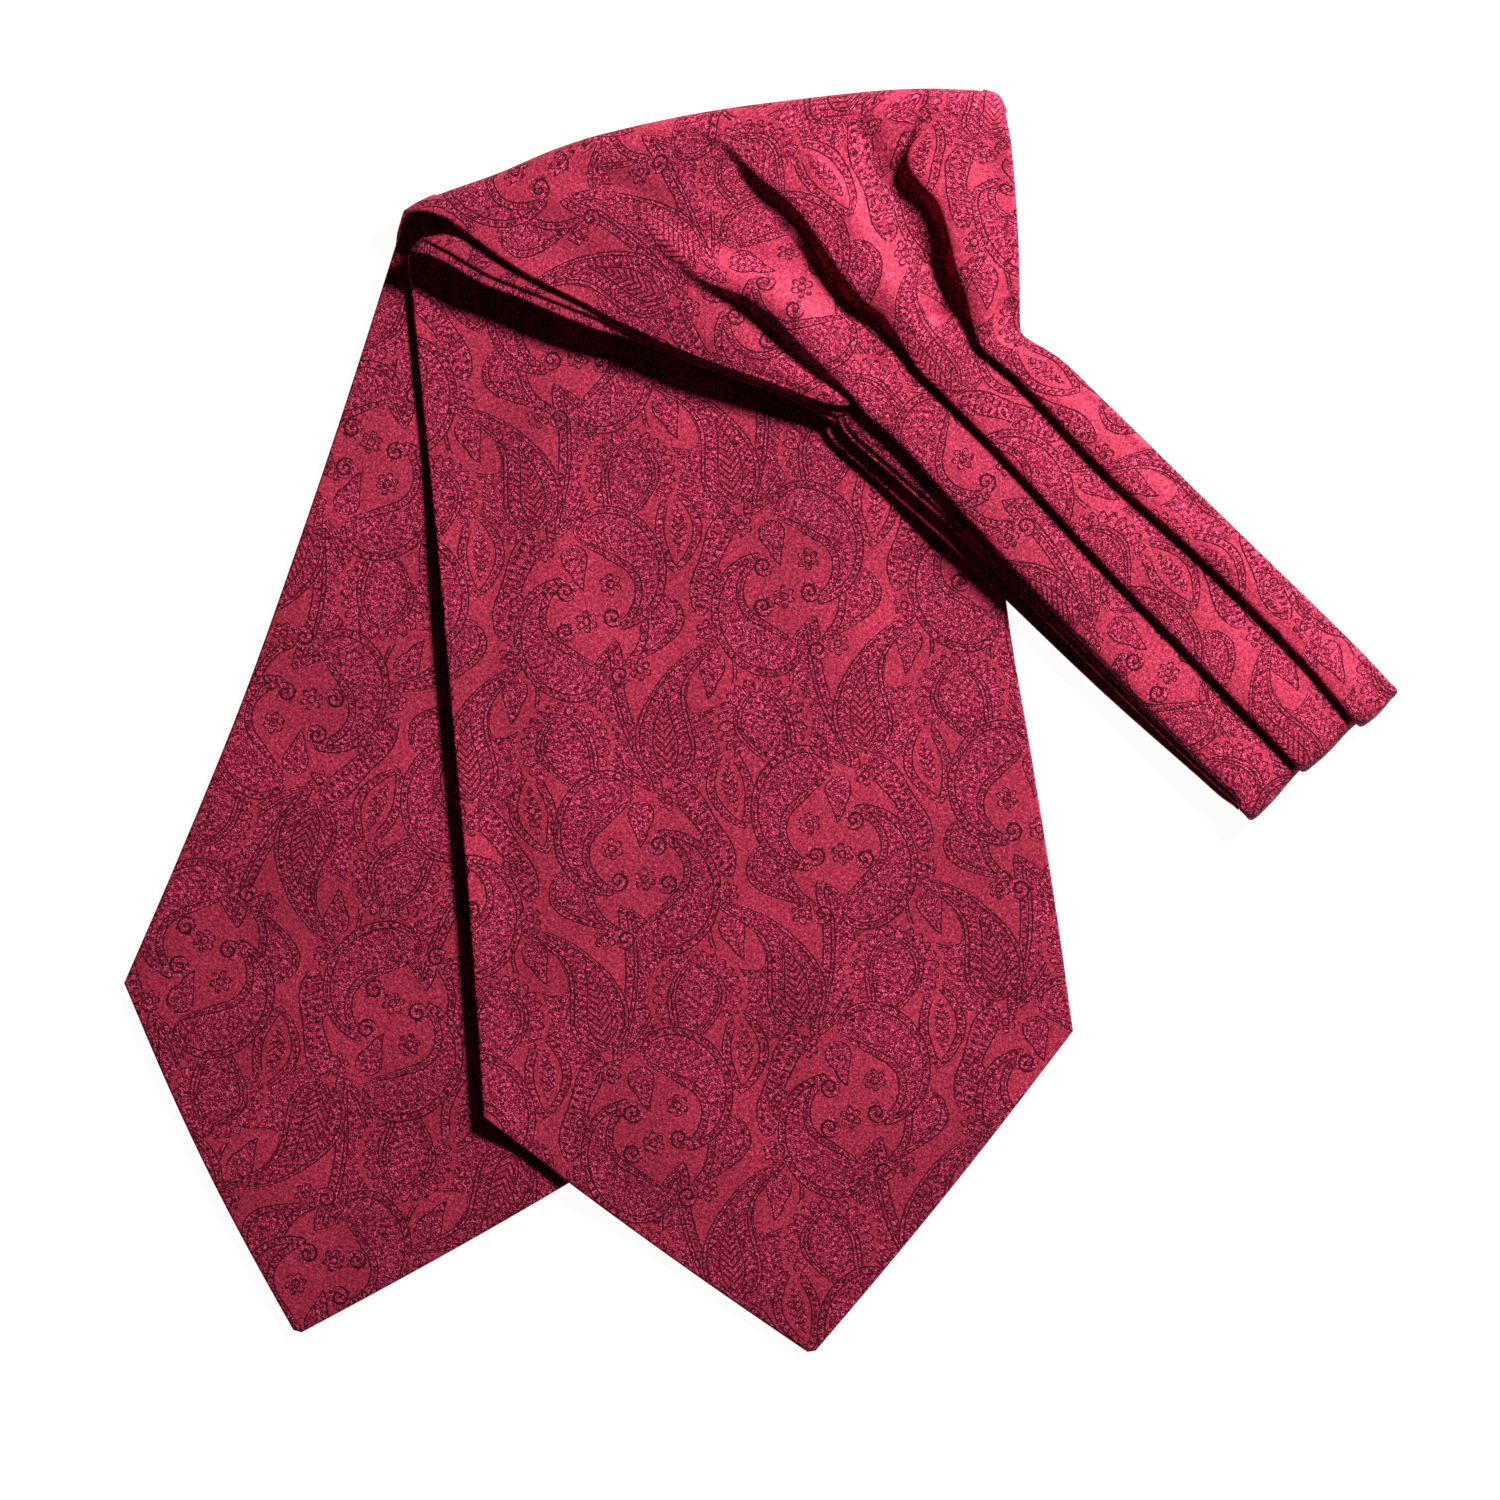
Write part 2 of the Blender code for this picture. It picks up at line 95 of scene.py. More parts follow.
# The top turn, left to right, where the outer cloth reaches furthest
TURN = [(-95.3, 135.6), (-89.2, 139.2), (-70.0, 146.2), (-56.7, 151.9), (-43.3, 156.3), (-16.7, 162.1),
        (10.0, 165.8), (36.7, 168.4), (55.5, 168.2), (62.2, 166.9), (64.6, 162.6)]
TURN_RADIUS = 5.5  # of the turn, in plan
TURN_ANGLES = (-90, -76, -62, -48, -34, -17, 0, 15, 30, 45, 60)  # degrees round it
TURN_LIP = 9.0     # how far the turn runs back below
LIP_HIGH = 0.35    # height of that run
BLADE_TOP = 3.6    # where the back blade's cloth starts, inside it
LIP_LEFT = (-0.28, -0.96)    # direction of that run at the left end
LIP_RIGHT = (-0.33, -0.94)   # and at the right end

# Lines of the outer fan from the turn to the waist, left to right. Each has its share of the turn, its plan
# points below the turn, its height on the crest and at the foot of its steep left side at the four stations
# below, and the width of that side.
STATIONS = (0.0, 0.33, 0.66, 1.0)
FAN = [
    ("flap", 0.0, [(-86.0, 133.9), (-78.0, 128.5), (-67.3, 121.1), (-59.3, 116.5), (-48.7, 111.2),
                   (-38.0, 105.6), (-16.7, 96.5), (4.7, 88.8), (15.3, 84.8), (25.4, 82.4)],
     (11.8, 11.2, 10.6, 8.8), None, None),
    ("third", 0.34, [(-34.0, 138.0), (-16.7, 118.5), (-4.0, 112.5), (3.3, 107.2), (10.0, 100.5),
                     (15.3, 95.2), (20.7, 89.9), (26.4, 83.4)],
     (12.4, 12.9, 13.6, 10.2), (12.4, 12.3, 10.6, 8.9), (3.0, 3.0, 3.6, 1.5)),
    ("second", 0.47, [(-16.7, 157.0), (-8.7, 152.5), (-0.7, 144.5), (10.0, 135.2), (18.0, 123.2),
                      (26.0, 112.5), (32.7, 107.0), (41.0, 93.6)],
     (12.6, 14.2, 13.8, 10.6), (12.3, 10.8, 9.6, 8.8), (2.0, 4.5, 3.2, 1.5)),
    ("first", 0.87, [(42.3, 157.9), (39.3, 148.5), (42.0, 141.9), (46.0, 136.5), (48.7, 128.5),
                     (51.3, 120.5), (54.0, 112.5), (57.2, 100.0)],
     (12.6, 14.2, 13.6, 10.5), (12.2, 10.6, 9.4, 8.7), (2.0, 3.5, 2.6, 1.4)),
    ("edge", 1.0, [(66.3, 152.5), (68.1, 128.5), (68.7, 102.9)],
     (11.4, 10.2, 9.4, 9.0), None, None),
]
SWELL = (1.0, 0.4, 0.8, 0.5)   # how far the cloth bulges between those lines
TOP_KEYS = (9, 6, 10, 6)       # shape points across each stretch between them
FINE = 3                       # mesh columns for each shape point
FAN_ROWS = 56
FAN_LENGTH = 60.0              # of a typical line, from the turn to the waist
TURN_SHARE = TURN_RADIUS / FAN_LENGTH

# The inner fan shows two folded edges below the outer cloth's own, each from the turn to the waist
UPPER_FOLD = [(-91.0, 128.6), (-86.0, 125.9), (-82.0, 123.7), (-74.0, 118.9), (-64.7, 115.2), (-54.0, 110.9),
              (-43.3, 106.7), (-32.7, 101.9), (-14.0, 94.6), (6.0, 87.6), (20.0, 81.0)]
LOWER_FOLD = [(-94.0, 125.3), (-88.7, 123.9), (-83.3, 121.4), (-75.3, 116.6), (-64.7, 112.6), (-54.0, 107.9),
              (-43.3, 103.9), (-32.7, 100.9), (-14.0, 93.6), (6.0, 86.4), (19.0, 79.6)]
UPPER_HIGH = (10.4, 9.9, 9.2, 7.1)   # tops of those edges at the four stations
LOWER_HIGH = (9.8, 9.3, 8.4, 6.2)
UNDERCUT = 8.0     # how far the cloth below them stands back
INNER_INSET = 2.0  # from the outer cloth's right edge
INNER_ROOM = 1.8   # between its top and the outer cloth's
NOSE = 0.7         # of its height, at its rounded end inside the turn
INNER_ROWS = 44    # sections of the inner cloth
INNER_STEPS = 16   # across its top, and across its underside
LOWER_ROWS = 80    # sections of the lower band, up to its turned end
LOW_LAYER = 0.26   # height of the lower band's lowest layer, as a share of it
STRIP_HIGH = 0.78  # height of the strip above it that catches the light
STRIP_IN = 3.9     # how far inside the lowest layer's edge that strip starts

# The neckband has its own axes: along it to its end, and across it to the upper right
BAND_ORIGIN = Vector((129.5, -24.8))
BAND_ANGLE = math.radians(-43.46)
ALONG = Vector((math.cos(BAND_ANGLE), math.sin(BAND_ANGLE)))
ACROSS = Vector((-ALONG.y, ALONG.x))
EDGE_LINE = [(-132.0, 50.9), (-127.0, 52.2), (-119.9, 53.6), (-105.0, 53.6), (-60.0, 53.0), (-12.0, 52.4),
             (3.2, 51.6)]
CREST_1 = [(-138.3, 40.6), (-123.0, 41.4), (-91.6, 39.6), (-56.0, 40.5), (-18.4, 39.5), (0.7, 37.4)]
CREST_2 = [(-146.1, 25.0), (-113.9, 24.0), (-74.7, 21.4), (-36.3, 19.7), (-2.1, 18.1)]
CREST_3 = [(-149.6, 7.0), (-134.7, 7.2), (-95.2, 4.3), (-56.7, 2.5), (-18.5, 0.9), (-6.0, 0.9), (-2.7, -0.8)]
LOWER_EDGE = [(-153.6, -2.4), (-151.4, -3.6), (-148.0, -4.2), (-142.4, -4.1), (-106.9, -2.9), (-51.6, -3.0),
              (-15.9, -1.8), (-8.0, -1.5), (-2.0, -0.4)]
BAND_LINES = (CREST_3, CREST_2, CREST_1, EDGE_LINE)
BAND_CREST = (2.6, 3.1, 3.1, 1.7)   # height of each line above the lower band
BAND_FOOT = (1.1, 1.3, 1.3, 0.0)    # and of the cloth that goes in below it
BAND_ROWS = 90
END_TURN = (12, 24, 36, 48, 60, 72, 84, 96, 112, 130)  # degrees of the turned-under end
END_ROOM = 0.982   # share of the band at which its lower half ends, inside that turn
BED_FROM, BED_OVER = -135.0, 105.0  # where the band starts to come down, and over what length
TAIL = 8.0         # how far a pleat runs on under the next one
TURNED = 7.0       # length of the third pleat's turned-under edge
FOLDING = (0.86, 0.07)  # shares of the fan and of the band between which the creases become folds
SOFTENED = 7       # rows on each side of the waist that are evened out
WAY_ROWS = 16      # rows on each side over which a strip's direction is taken
STRIP_START = (0.0, 52.0, 78.0, 141.0)  # where each strip's left line lies across the flat cloth
# The flap's own grain runs from the first of these places to the second
FLAP_GRAIN = (Vector((26.0, 83.2)), Vector((-60.0, 131.0)))

# A crease's profile, from the cloth left of it, down and round its edge, to its crest: how far right of its
# line, as shares of the steep side's width in the fan or of the pleat's tail in the band, plus millimetres,
# and the share of its height
OPEN_CREASE = [(-1.0, -1.5, 0.0), (-1.0, 0.0, 0.02), (-0.72, 0.0, 0.25), (-0.4, 0.0, 0.62),
               (-0.12, 0.0, 0.9), (0.0, 0.8, 1.0)]
FOLDED_CREASE = [(1.0, -1.0, 0.0), (1.0, 0.0, 0.13), (1.0, -0.9, 0.27), (0.0, 2.0, 0.29),
                 (0.0, 0.0, 0.62), (0.0, 0.9, 1.0)]
TURNED_CREASE = [(0.0, 5.0, 0.0), (0.0, 3.6, 0.0), (0.0, 2.2, 0.0), (0.0, 0.8, 0.04),
                 (0.0, 0.0, 0.5), (0.0, 1.2, 1.0)]
# The hem of the outer cloth's left edge in the fan, and its right edge: how far right of the edge and down
LEFT_HEM = [(9.0, 1.9), (4.0, 1.8), (0.9, 1.6), (0.0, 0.9), (0.5, 0.15)]
RIGHT_HEM = [(-1.3, 0.15), (-0.2, 0.8), (-0.1, 1.6), (-1.0, 2.2), (-4.0, 2.4), (-8.0, 2.4)]

# The lower band's rounded layers at its right edge, from the bottom up: how far in, and the height
RIGHT_LAYERS = [(0.9, 0.0), (0.2, 0.35), (0.0, 0.9), (0.35, 1.5), (0.9, 1.75), (0.35, 2.0), (0.0, 2.8),
                (0.3, 3.5), (1.0, BAND - 0.1)]

# Soft folds and dimples of the outer cloth: plan points, height at the middle, and half width
FAN_FOLDS = [
    ("valley below the turn", [(-62.0, 147.0), (-40.7, 143.5), (-30.0, 137.9), (-16.7, 128.5), (-0.7, 122.2),
                               (8.0, 116.9)], -1.1, 4.5),
    ("ridge over the third pleat", [(-30.0, 131.0), (-16.7, 121.0), (4.7, 111.0), (18.0, 98.0)], 0.8, 5.0),
    ("hollow at the left", [(-66.0, 136.0), (-54.0, 126.0), (-43.3, 119.5), (-30.0, 112.0)], -0.9, 7.0),
    ("ridge along the second pleat", [(6.0, 158.0), (22.3, 136.9), (31.3, 118.5), (43.0, 102.5)], 0.9, 4.0),
    ("valley in the second pleat", [(20.0, 164.5), (27.3, 155.2), (31.6, 146.7), (36.9, 136.0),
                                    (41.2, 125.3), (51.9, 110.4)], -1.3, 3.2),
    ("ridge at the first pleat", [(52.7, 155.2), (59.3, 130.2), (58.7, 112.2)], 0.6, 4.0),
    ("dimple at the waist", [(64.5, 112.5), (66.0, 106.0)], -2.2, 4.4),
    ("pinch beside it", [(62.0, 112.0), (58.6, 103.5)], 0.9, 2.2),
    ("dimple in the second pleat", [(44.5, 110.5), (47.8, 106.0)], -1.5, 3.4),
    ("dimple in the third pleat", [(26.0, 98.5), (30.5, 94.0)], -0.9, 3.4),
]
# Soft folds of the blades, in the same way
FRONT_FOLDS = [
    ("from the fan down", [(-30.0, 60.0), (-24.0, 10.0), (-30.0, -45.0), (-38.0, -100.0)], -0.7, 11.0),
    ("beside it", [(-58.0, 80.0), (-54.0, 20.0), (-58.0, -50.0)], 0.6, 10.0),
    ("right of the middle", [(16.0, 50.0), (22.0, 0.0), (14.0, -60.0), (12.0, -120.0)], 0.6, 13.0),
    ("towards the right shoulder", [(50.0, 20.0), (54.0, -40.0), (62.0, -80.0)], -0.5, 9.0),
    ("short one at the point", [(-10.0, -100.0), (10.0, -128.0), (16.0, -150.0)], -0.5, 10.0),
    ("short one at the left", [(-72.0, -20.0), (-66.0, -48.0)], -0.5, 6.0),
]
BACK_FOLDS = [
    ("down the blade", [(-100.0, 90.0), (-112.0, 30.0), (-128.0, -40.0), (-134.0, -110.0)], -0.6, 9.0),
    ("beside the front blade", [(-96.0, 20.0), (-98.0, -40.0), (-92.0, -100.0)], 0.5, 8.0),
    ("across the left shoulder", [(-160.0, -50.0), (-142.0, -72.0), (-120.0, -84.0)], -0.5, 8.0),
]
FOLD_STEPS = 12    # straight pieces of a soft fold
FOLD_REACH = 2.6   # half widths beyond which it is level


def smooth(t):
    """Eases from 0 to 1."""
    t = min(max(t, 0.0), 1.0)
    return t * t * (3.0 - 2.0 * t)


def mix(a, b, t):
    """The value or place between a and b."""
    return a + (b - a) * t


def reach_along(points):
    """How far along a line each of its points lies."""
    reach = [0.0]
    for a, b in zip(points, points[1:]):
        reach.append(reach[-1] + (b - a).length)
    return reach


def bend(a, b, leaving, arriving, t):
    """A place on the curve from a to b that has the given slopes at its ends."""
    t2, t3 = t * t, t * t * t
    return (a * (2 * t3 - 3 * t2 + 1) + leaving * (t3 - 2 * t2 + t)
            + b * (3 * t2 - 2 * t3) + arriving * (t3 - t2))


def follow(points, share):
    """The point at a share of the way along a smooth line through the points."""
    points = [Vector(p) for p in points]
    reach = reach_along(points)
    at = min(max(share, 0.0), 1.0) * reach[-1]
    last = len(points) - 1
    i = min(bisect_right(reach, at), last) - 1
    span = reach[i + 1] - reach[i]

    def slope(k):
        a, b = max(k - 1, 0), min(k + 1, last)
        return (points[b] - points[a]) * (span / (reach[b] - reach[a]))

    return bend(points[i], points[i + 1], slope(i), slope(i + 1), (at - reach[i]) / span)


def rounded(keys, counts):
    """A smooth line through key points, with a number of steps for each stretch between two of them."""
    last = len(keys) - 1
    out = []
    for i, count in enumerate(counts):
        a, b = keys[i], keys[i + 1]
        span = max((b - a).length, 1e-6)
        ways = []
        for k in (i, i + 1):
            before, after = keys[max(k - 1, 0)], keys[min(k + 1, last)]
            chord = (keys[k] - before).length + (after - keys[k]).length
            ways.append((after - before) * (span / max(chord, 1e-6)))
        out += [bend(a, b, ways[0], ways[1], step / count) for step in range(count)]
    out.append(keys[-1])
    return out


def raised(place, z):
    """A plan place at a height."""
    return Vector((place.x, place.y, z))


def station(values, t):
    """A value from a table with one entry for each of the STATIONS."""
    i = min(bisect_right(STATIONS, t), len(STATIONS) - 1) - 1
    part = smooth((t - STATIONS[i]) / (STATIONS[i + 1] - STATIONS[i]))
    return mix(values[i], values[i + 1], part)


def folds_ready(folds):
    """Each soft fold as straight pieces, with its box, for quick measuring."""
    ready = []
    for _, points, height, width in folds:
        line = [follow(points, k / FOLD_STEPS) for k in range(FOLD_STEPS + 1)]
        reach = width * FOLD_REACH
        box = (min(p.x for p in line) - reach, max(p.x for p in line) + reach,
               min(p.y for p in line) - reach, max(p.y for p in line) + reach)
        ready.append((line, height, width, box))
    return ready


def fold_height(place, folds):
    """How far soft folds lift or lower a place on the cloth."""
    x, y = place.x, place.y
    total = 0.0
    for line, height, width, box in folds:
        if not (box[0] < x < box[1] and box[2] < y < box[3]):
            continue
        best, at = 1e9, 0.0
        for k, (a, b) in enumerate(zip(line, line[1:])):
            wx, wy = b.x - a.x, b.y - a.y
            f = ((x - a.x) * wx + (y - a.y) * wy) / (wx * wx + wy * wy)
            f = min(max(f, 0.0), 1.0)
            off = (x - a.x - wx * f) ** 2 + (y - a.y - wy * f) ** 2
            if off < best:
                best, at = off, k + f
        along = at / (len(line) - 1)
        fade = smooth(along / 0.25) * smooth((1 - along) / 0.25) if len(line) > 2 else 1.0
        total += height * math.exp(-best / (width * width)) * mix(0.35, 1.0, fade)
    return total


def spread(length, step, fine):
    """Shares of a length, close together at both ends, then evenly by about one step."""
    near = [d / length for d in fine]
    count = max(2, round((length - 2 * fine[-1]) / step))
    middle = [near[-1] + (1 - 2 * near[-1]) * k / count for k in range(1, count)]
    return near + middle + [1 - d for d in reversed(near)]


ROUND_STEPS = (0.0, 0.05, 0.18, 0.38, 0.65, 1.1)  # millimetres from a blade's edge
ROUND = 0.65                                       # radius of that edge


def round_edge(distance):
    """Share of half the thickness that a blade has at a distance from its edge."""
    d = min(distance / ROUND, 1.0)
    return math.sqrt(max(0.0, 1 - (1 - d) ** 2))


def blade_grid(left, point, right, top, bow, across, down):
    """Places over a blade: across it from 0 to 1, and down it from 0 at the top to 1 at its pointed end."""
    start, end, tip = follow(left, 1.0), follow(right, 1.0), Vector(point)
    heads = [follow(top, a) - follow(left, 0.0).lerp(follow(right, 0.0), a) for a in across]
    feet = []
    for a in across:
        first = a < 0.5
        f = a * 2 if first else a * 2 - 1
        place = start.lerp(tip, f) if first else tip.lerp(end, f)
        side = (tip - start) if first else (end - tip)
        out = Vector((side.y, -side.x)).normalized() * (bow[0] if first else bow[1])
        feet.append(place + out * math.sin(math.pi * f) - start.lerp(end, a))
    rows = []
    for d in down:
        first, last = follow(left, d), follow(right, d)
        row = []
        for a, head, foot in zip(across, heads, feet):
            row.append(first.lerp(last, a) + head * (1 - d) + foot * smooth(d))
        rows.append(row)
    return rows


def beside(place, start, end):
    """How far a place lies to the right of a line, looking from its start to its end."""
    way = (Vector(end) - Vector(start)).normalized()
    off = place - Vector(start)
    return off.y * way.x - off.x * way.y


def front_underside(place):
    """Height of the front blade's underside: on the back blade, then down to the surface beside it."""
    right = beside(place, BACK_RIGHT[0], BACK_RIGHT[-1])
    below = beside(place, BACK_RIGHT[-1], BACK_POINT)
    outside = max(right, below)
    return (BLADE + GAP) * (1 - smooth(outside / DROP))


def lip_way(share):
    """Direction in which the turn runs back below, at a share of its width."""
    return Vector(LIP_LEFT).lerp(Vector(LIP_RIGHT), share).normalized()


def on_band(line, share):
    """Plan place at a share of the way along one of the neckband's lines."""
    a, c = follow(line, share)
    return BAND_ORIGIN + ALONG * a + ACROSS * c


def band_bed(place):
    """Height of the neckband's underside: on the blades at the waist, on the surface at its end."""
    a = (place - BAND_ORIGIN).dot(ALONG)
    return BED * (1 - smooth((a - BED_FROM) / BED_OVER))


# Meshes and finishing


def placed(name, data):
    """A new object in the scene."""
    made = bpy.data.objects.new(name, data)
    bpy.context.collection.objects.link(made)
    return made


def mesh_object(name, corners, faces, marks, material, merge=0.0):
    """A mesh piece from corners in millimetres, with a cloth map in millimetres for each face corner."""
    mesh = bpy.data.meshes.new(name)
    mesh.from_pydata([Vector(c) * MM for c in corners], [], faces)
    layer = mesh.uv_layers.new(name="ClothMap")
    for loop, mark in zip(layer.data, marks):
        loop.uv = mark
    mesh.materials.append(material)
    mesh.shade_smooth()
    if merge:
        work = bmesh.new()
        work.from_mesh(mesh)
        bmesh.ops.remove_doubles(work, verts=work.verts, dist=merge * MM)
        work.to_mesh(mesh)
        work.free()
    return placed(name, mesh)


def finished(piece, nodes):
    """Hangs a piece on the root body and hides the solids that it stands for."""
    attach(piece, "root")
    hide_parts(*nodes)


def plain_mesh(piece, modifier):
    """Turns a piece's modifier into plain mesh."""
    bpy.context.view_layer.update()
    graph = bpy.context.evaluated_depsgraph_get()
    plain = bpy.data.meshes.new_from_object(piece.evaluated_get(graph))
    piece.modifiers.remove(modifier)
    old = piece.data
    piece.data = plain
    bpy.data.meshes.remove(old)


def thickened(piece, thickness):
    """Gives a sheet its thickness, to its underside."""
    wall = piece.modifiers.new("Thickness", "SOLIDIFY")
    wall.thickness = thickness * MM
    wall.offset = -1.0
    plain_mesh(piece, wall)


def blade_piece(name, outline, lift, width, thick, grain, material):
    """A lined blade: two faces that meet in a rounded edge, with its cloth map along its grain."""
    across = spread(width, BLADE_STEP, ROUND_STEPS)
    down = [d for d in spread(BLADE_LENGTH, BLADE_STEP, ROUND_STEPS) if d > HIDDEN or d == 0.0]
    sides = [round_edge(min(a, 1 - a) * width) for a in across]
    ends = [round_edge((1 - d) * BLADE_LENGTH * POINT_SLOPE) for d in down]
    grid = blade_grid(*outline, across, down)
    rows, columns, half = len(down), len(across), thick / 2
    heights = [[max(0.0, lift(place, row[0], d)) + half for place in row] for d, row in zip(down, grid)]
    corners = []
    for side in (1, -1):
        for row, levels, end in zip(grid, heights, ends):
            for place, middle, edge in zip(row, levels, sides):
                corners.append(raised(place, middle + side * half * min(edge, end)))
    below = rows * columns
    faces = []
    for r in range(rows - 1):
        for c in range(columns - 1):
            i = r * columns + c
            faces.append((i, i + columns, i + columns + 1, i + 1))
            faces.append((below + i, below + i + 1, below + i + columns + 1, below + i + columns))
    faces += [(c, c + 1, below + c + 1, below + c) for c in range(columns - 1)]
    turn, up = grain
    way = Vector((math.sin(turn), math.cos(turn))) * up
    over = Vector((way.y, -way.x))
    marks = [(corners[k].xy.dot(over), corners[k].xy.dot(way)) for face in faces for k in face]
    return mesh_object(name, corners, faces, marks, material, merge=MERGE)


def back_blade(material, thick):
    """The lower blade, flat on the surface."""
    folds = folds_ready(BACK_FOLDS)
    ats = [k / BACK_TOP_STEPS for k in range(BACK_TOP_STEPS + 1)]
    top = [follow(TURN, at) + lip_way(at) * BLADE_TOP for at in ats]

    def lift(place, edge, down):
        """Height of the underside at a place, whichever row it is in."""
        return fold_height(place, folds) * BACK_SOFTNESS

    outline = (BACK_LEFT, BACK_POINT, BACK_RIGHT, top, BACK_BOW)
    return blade_piece("back_blade_cloth", outline, lift, BACK_WIDTH, thick, BACK_GRAIN, material)


def front_blade(material, thick):
    """The upper blade, which lies on the back one and beside it on the surface."""
    folds = folds_ready(FRONT_FOLDS)

    def lift(place, edge, down):
        """Height of the underside at a place, from its distance to the left edge and its share down."""
        curl = EDGE_LIFT * (1 - smooth((place - edge).length / EDGE_CURL)) * smooth((down - 0.2) * 4)
        return front_underside(place) + curl + fold_height(place, folds)

    outline = (FRONT_LEFT, FRONT_POINT, FRONT_RIGHT, FRONT_TOP, FRONT_BOW)
    return blade_piece("front_blade_cloth", outline, lift, FRONT_WIDTH, thick, FRONT_GRAIN, material)


# The outer cloth


def crease_keys(before, line, after, foot, crest, face, fold, folded):
    """Shape points of one crease, between its open form in the fan and its folded form in the band."""
    to_left, to_right = (line - before).normalized(), (after - line).normalized()
    ends_here = (after - line).length < 1e-6
    keys = []
    for (wide, plus, up), (tail, over, high) in zip(OPEN_CREASE, folded):
        far = mix(wide * face + plus, tail * TAIL + over, fold)
        way = to_right if far > 0 and not ends_here else to_left
        keys.append(raised(line + way * far, mix(foot, crest, mix(up, high, fold))))
    return keys


def outer_keys(lines, crests, feet, faces, fold, swell, drop_at):
    """Shape points of one row of the outer cloth, left to right."""
    left_way = lines[1] - lines[0]
    left_way = left_way.normalized() if left_way.length > 1e-6 else ACROSS
    keys = []
    for k, (far, down) in enumerate(LEFT_HEM):
        tucked = lines[0] + ACROSS * (0.35 * (len(LEFT_HEM) - k))
        keys.append(raised(mix(lines[0] + left_way * far, tucked, fold), crests[0] - down * (1 - fold)))
    start = raised(lines[0], crests[0]) + (left_way * 1.6 * (1 - fold)).to_3d()
    last = len(TOP_KEYS) - 1
    for k, count in enumerate(TOP_KEYS):
        before, line = lines[k], lines[k + 1]
        if k == last:
            way = (line - before).normalized()
            crease = [raised(line + way * far, crests[-1] - down) for far, down in RIGHT_HEM]
        else:
            folded = FOLDED_CREASE if k else TURNED_CREASE
            if k == 0 and fold >= 0.5:
                before = line - ACROSS
            crease = crease_keys(before, line, lines[k + 2], feet[k + 1], crests[k + 1], faces[k + 1],
                                 fold, folded)
        for i in range(count):
            f = i / count
            place = start.lerp(crease[0], f)
            drop = smooth(f / mix(1.0, drop_at[k], fold)) ** mix(1.0, 1.7, fold)
            z = mix(start.z, crease[0].z, drop)
            keys.append(raised(place, z + swell[k] * math.sin(math.pi * f)))
        start = crease[-1]
        keys += crease if k == last else crease[:-1]
    return keys


def fan_keys(share):
    """Shape points of a row of the fan, at a share of the way from the turn to the waist."""
    t = max(0.0, (share - TURN_SHARE) / (1.0 - TURN_SHARE))
    lines, crests, feet, faces = [], [], [], []
    for _, at, points, crest, foot, face in FAN:
        lines.append(follow([follow(TURN, at)] + points, share))
        crests.append(station(crest, t))
        feet.append(station(foot or crest, t))
        faces.append(station(face, t) if face else 0.0)
    fold = 0.5 * smooth((t - FOLDING[0]) / (1 - FOLDING[0]))
    swell = [s * math.sin(math.pi * t) for s in SWELL]
    keys = outer_keys(lines, crests, feet, faces, fold, swell, (1.0, 0.7, 0.7, 1.0))
    return keys, lines


def turn_bow(share, keys):
    """How far the turn's curve lies above the straight lines between the fan's lines, at each key."""
    ats = [at for _, at, *_ in FAN]
    heads = [follow(TURN, at) for at in ats]
    fade = 1 - smooth(share)
    out = []
    for key in keys:
        best = 0
        for k in range(4):
            if (key.xy - heads[k]).dot(heads[k + 1] - heads[k]) > 0:
                best = k
        chord = heads[best + 1] - heads[best]
        f = min(max((key.xy - heads[best]).dot(chord) / chord.length_squared, 0.0), 1.0)
        curve = follow(TURN, mix(ats[best], ats[best + 1], f))
        out.append((curve - heads[best].lerp(heads[best + 1], f)) * fade)
    return out


def band_keys(share):
    """Shape points of a row of the neckband's outer half, at a share of its length from the waist."""
    places = [on_band(line, share) for line in BAND_LINES]
    way = (places[1] - places[0]).normalized()
    lines = [places[0] + way * TURNED] + places
    base = [band_bed(p) + BAND for p in lines]
    crests = [base[0] + BAND_FOOT[0]] + [b + n for b, n in zip(base[1:], BAND_CREST)]
    feet = [crests[0]] + [b + n for b, n in zip(base[1:], BAND_FOOT)]
    fold = mix(0.5, 1.0, smooth(share / FOLDING[1]))
    drops = [1.0]
    for k in (1, 2):
        wide = (lines[k + 1] - lines[k]).length
        drops.append(wide / (wide + TAIL))
    drops.append(1.0)
    return outer_keys(lines, crests, feet, [0.0] * 5, fold, (0.0, 0.1, 0.1, 0.2), drops), lines


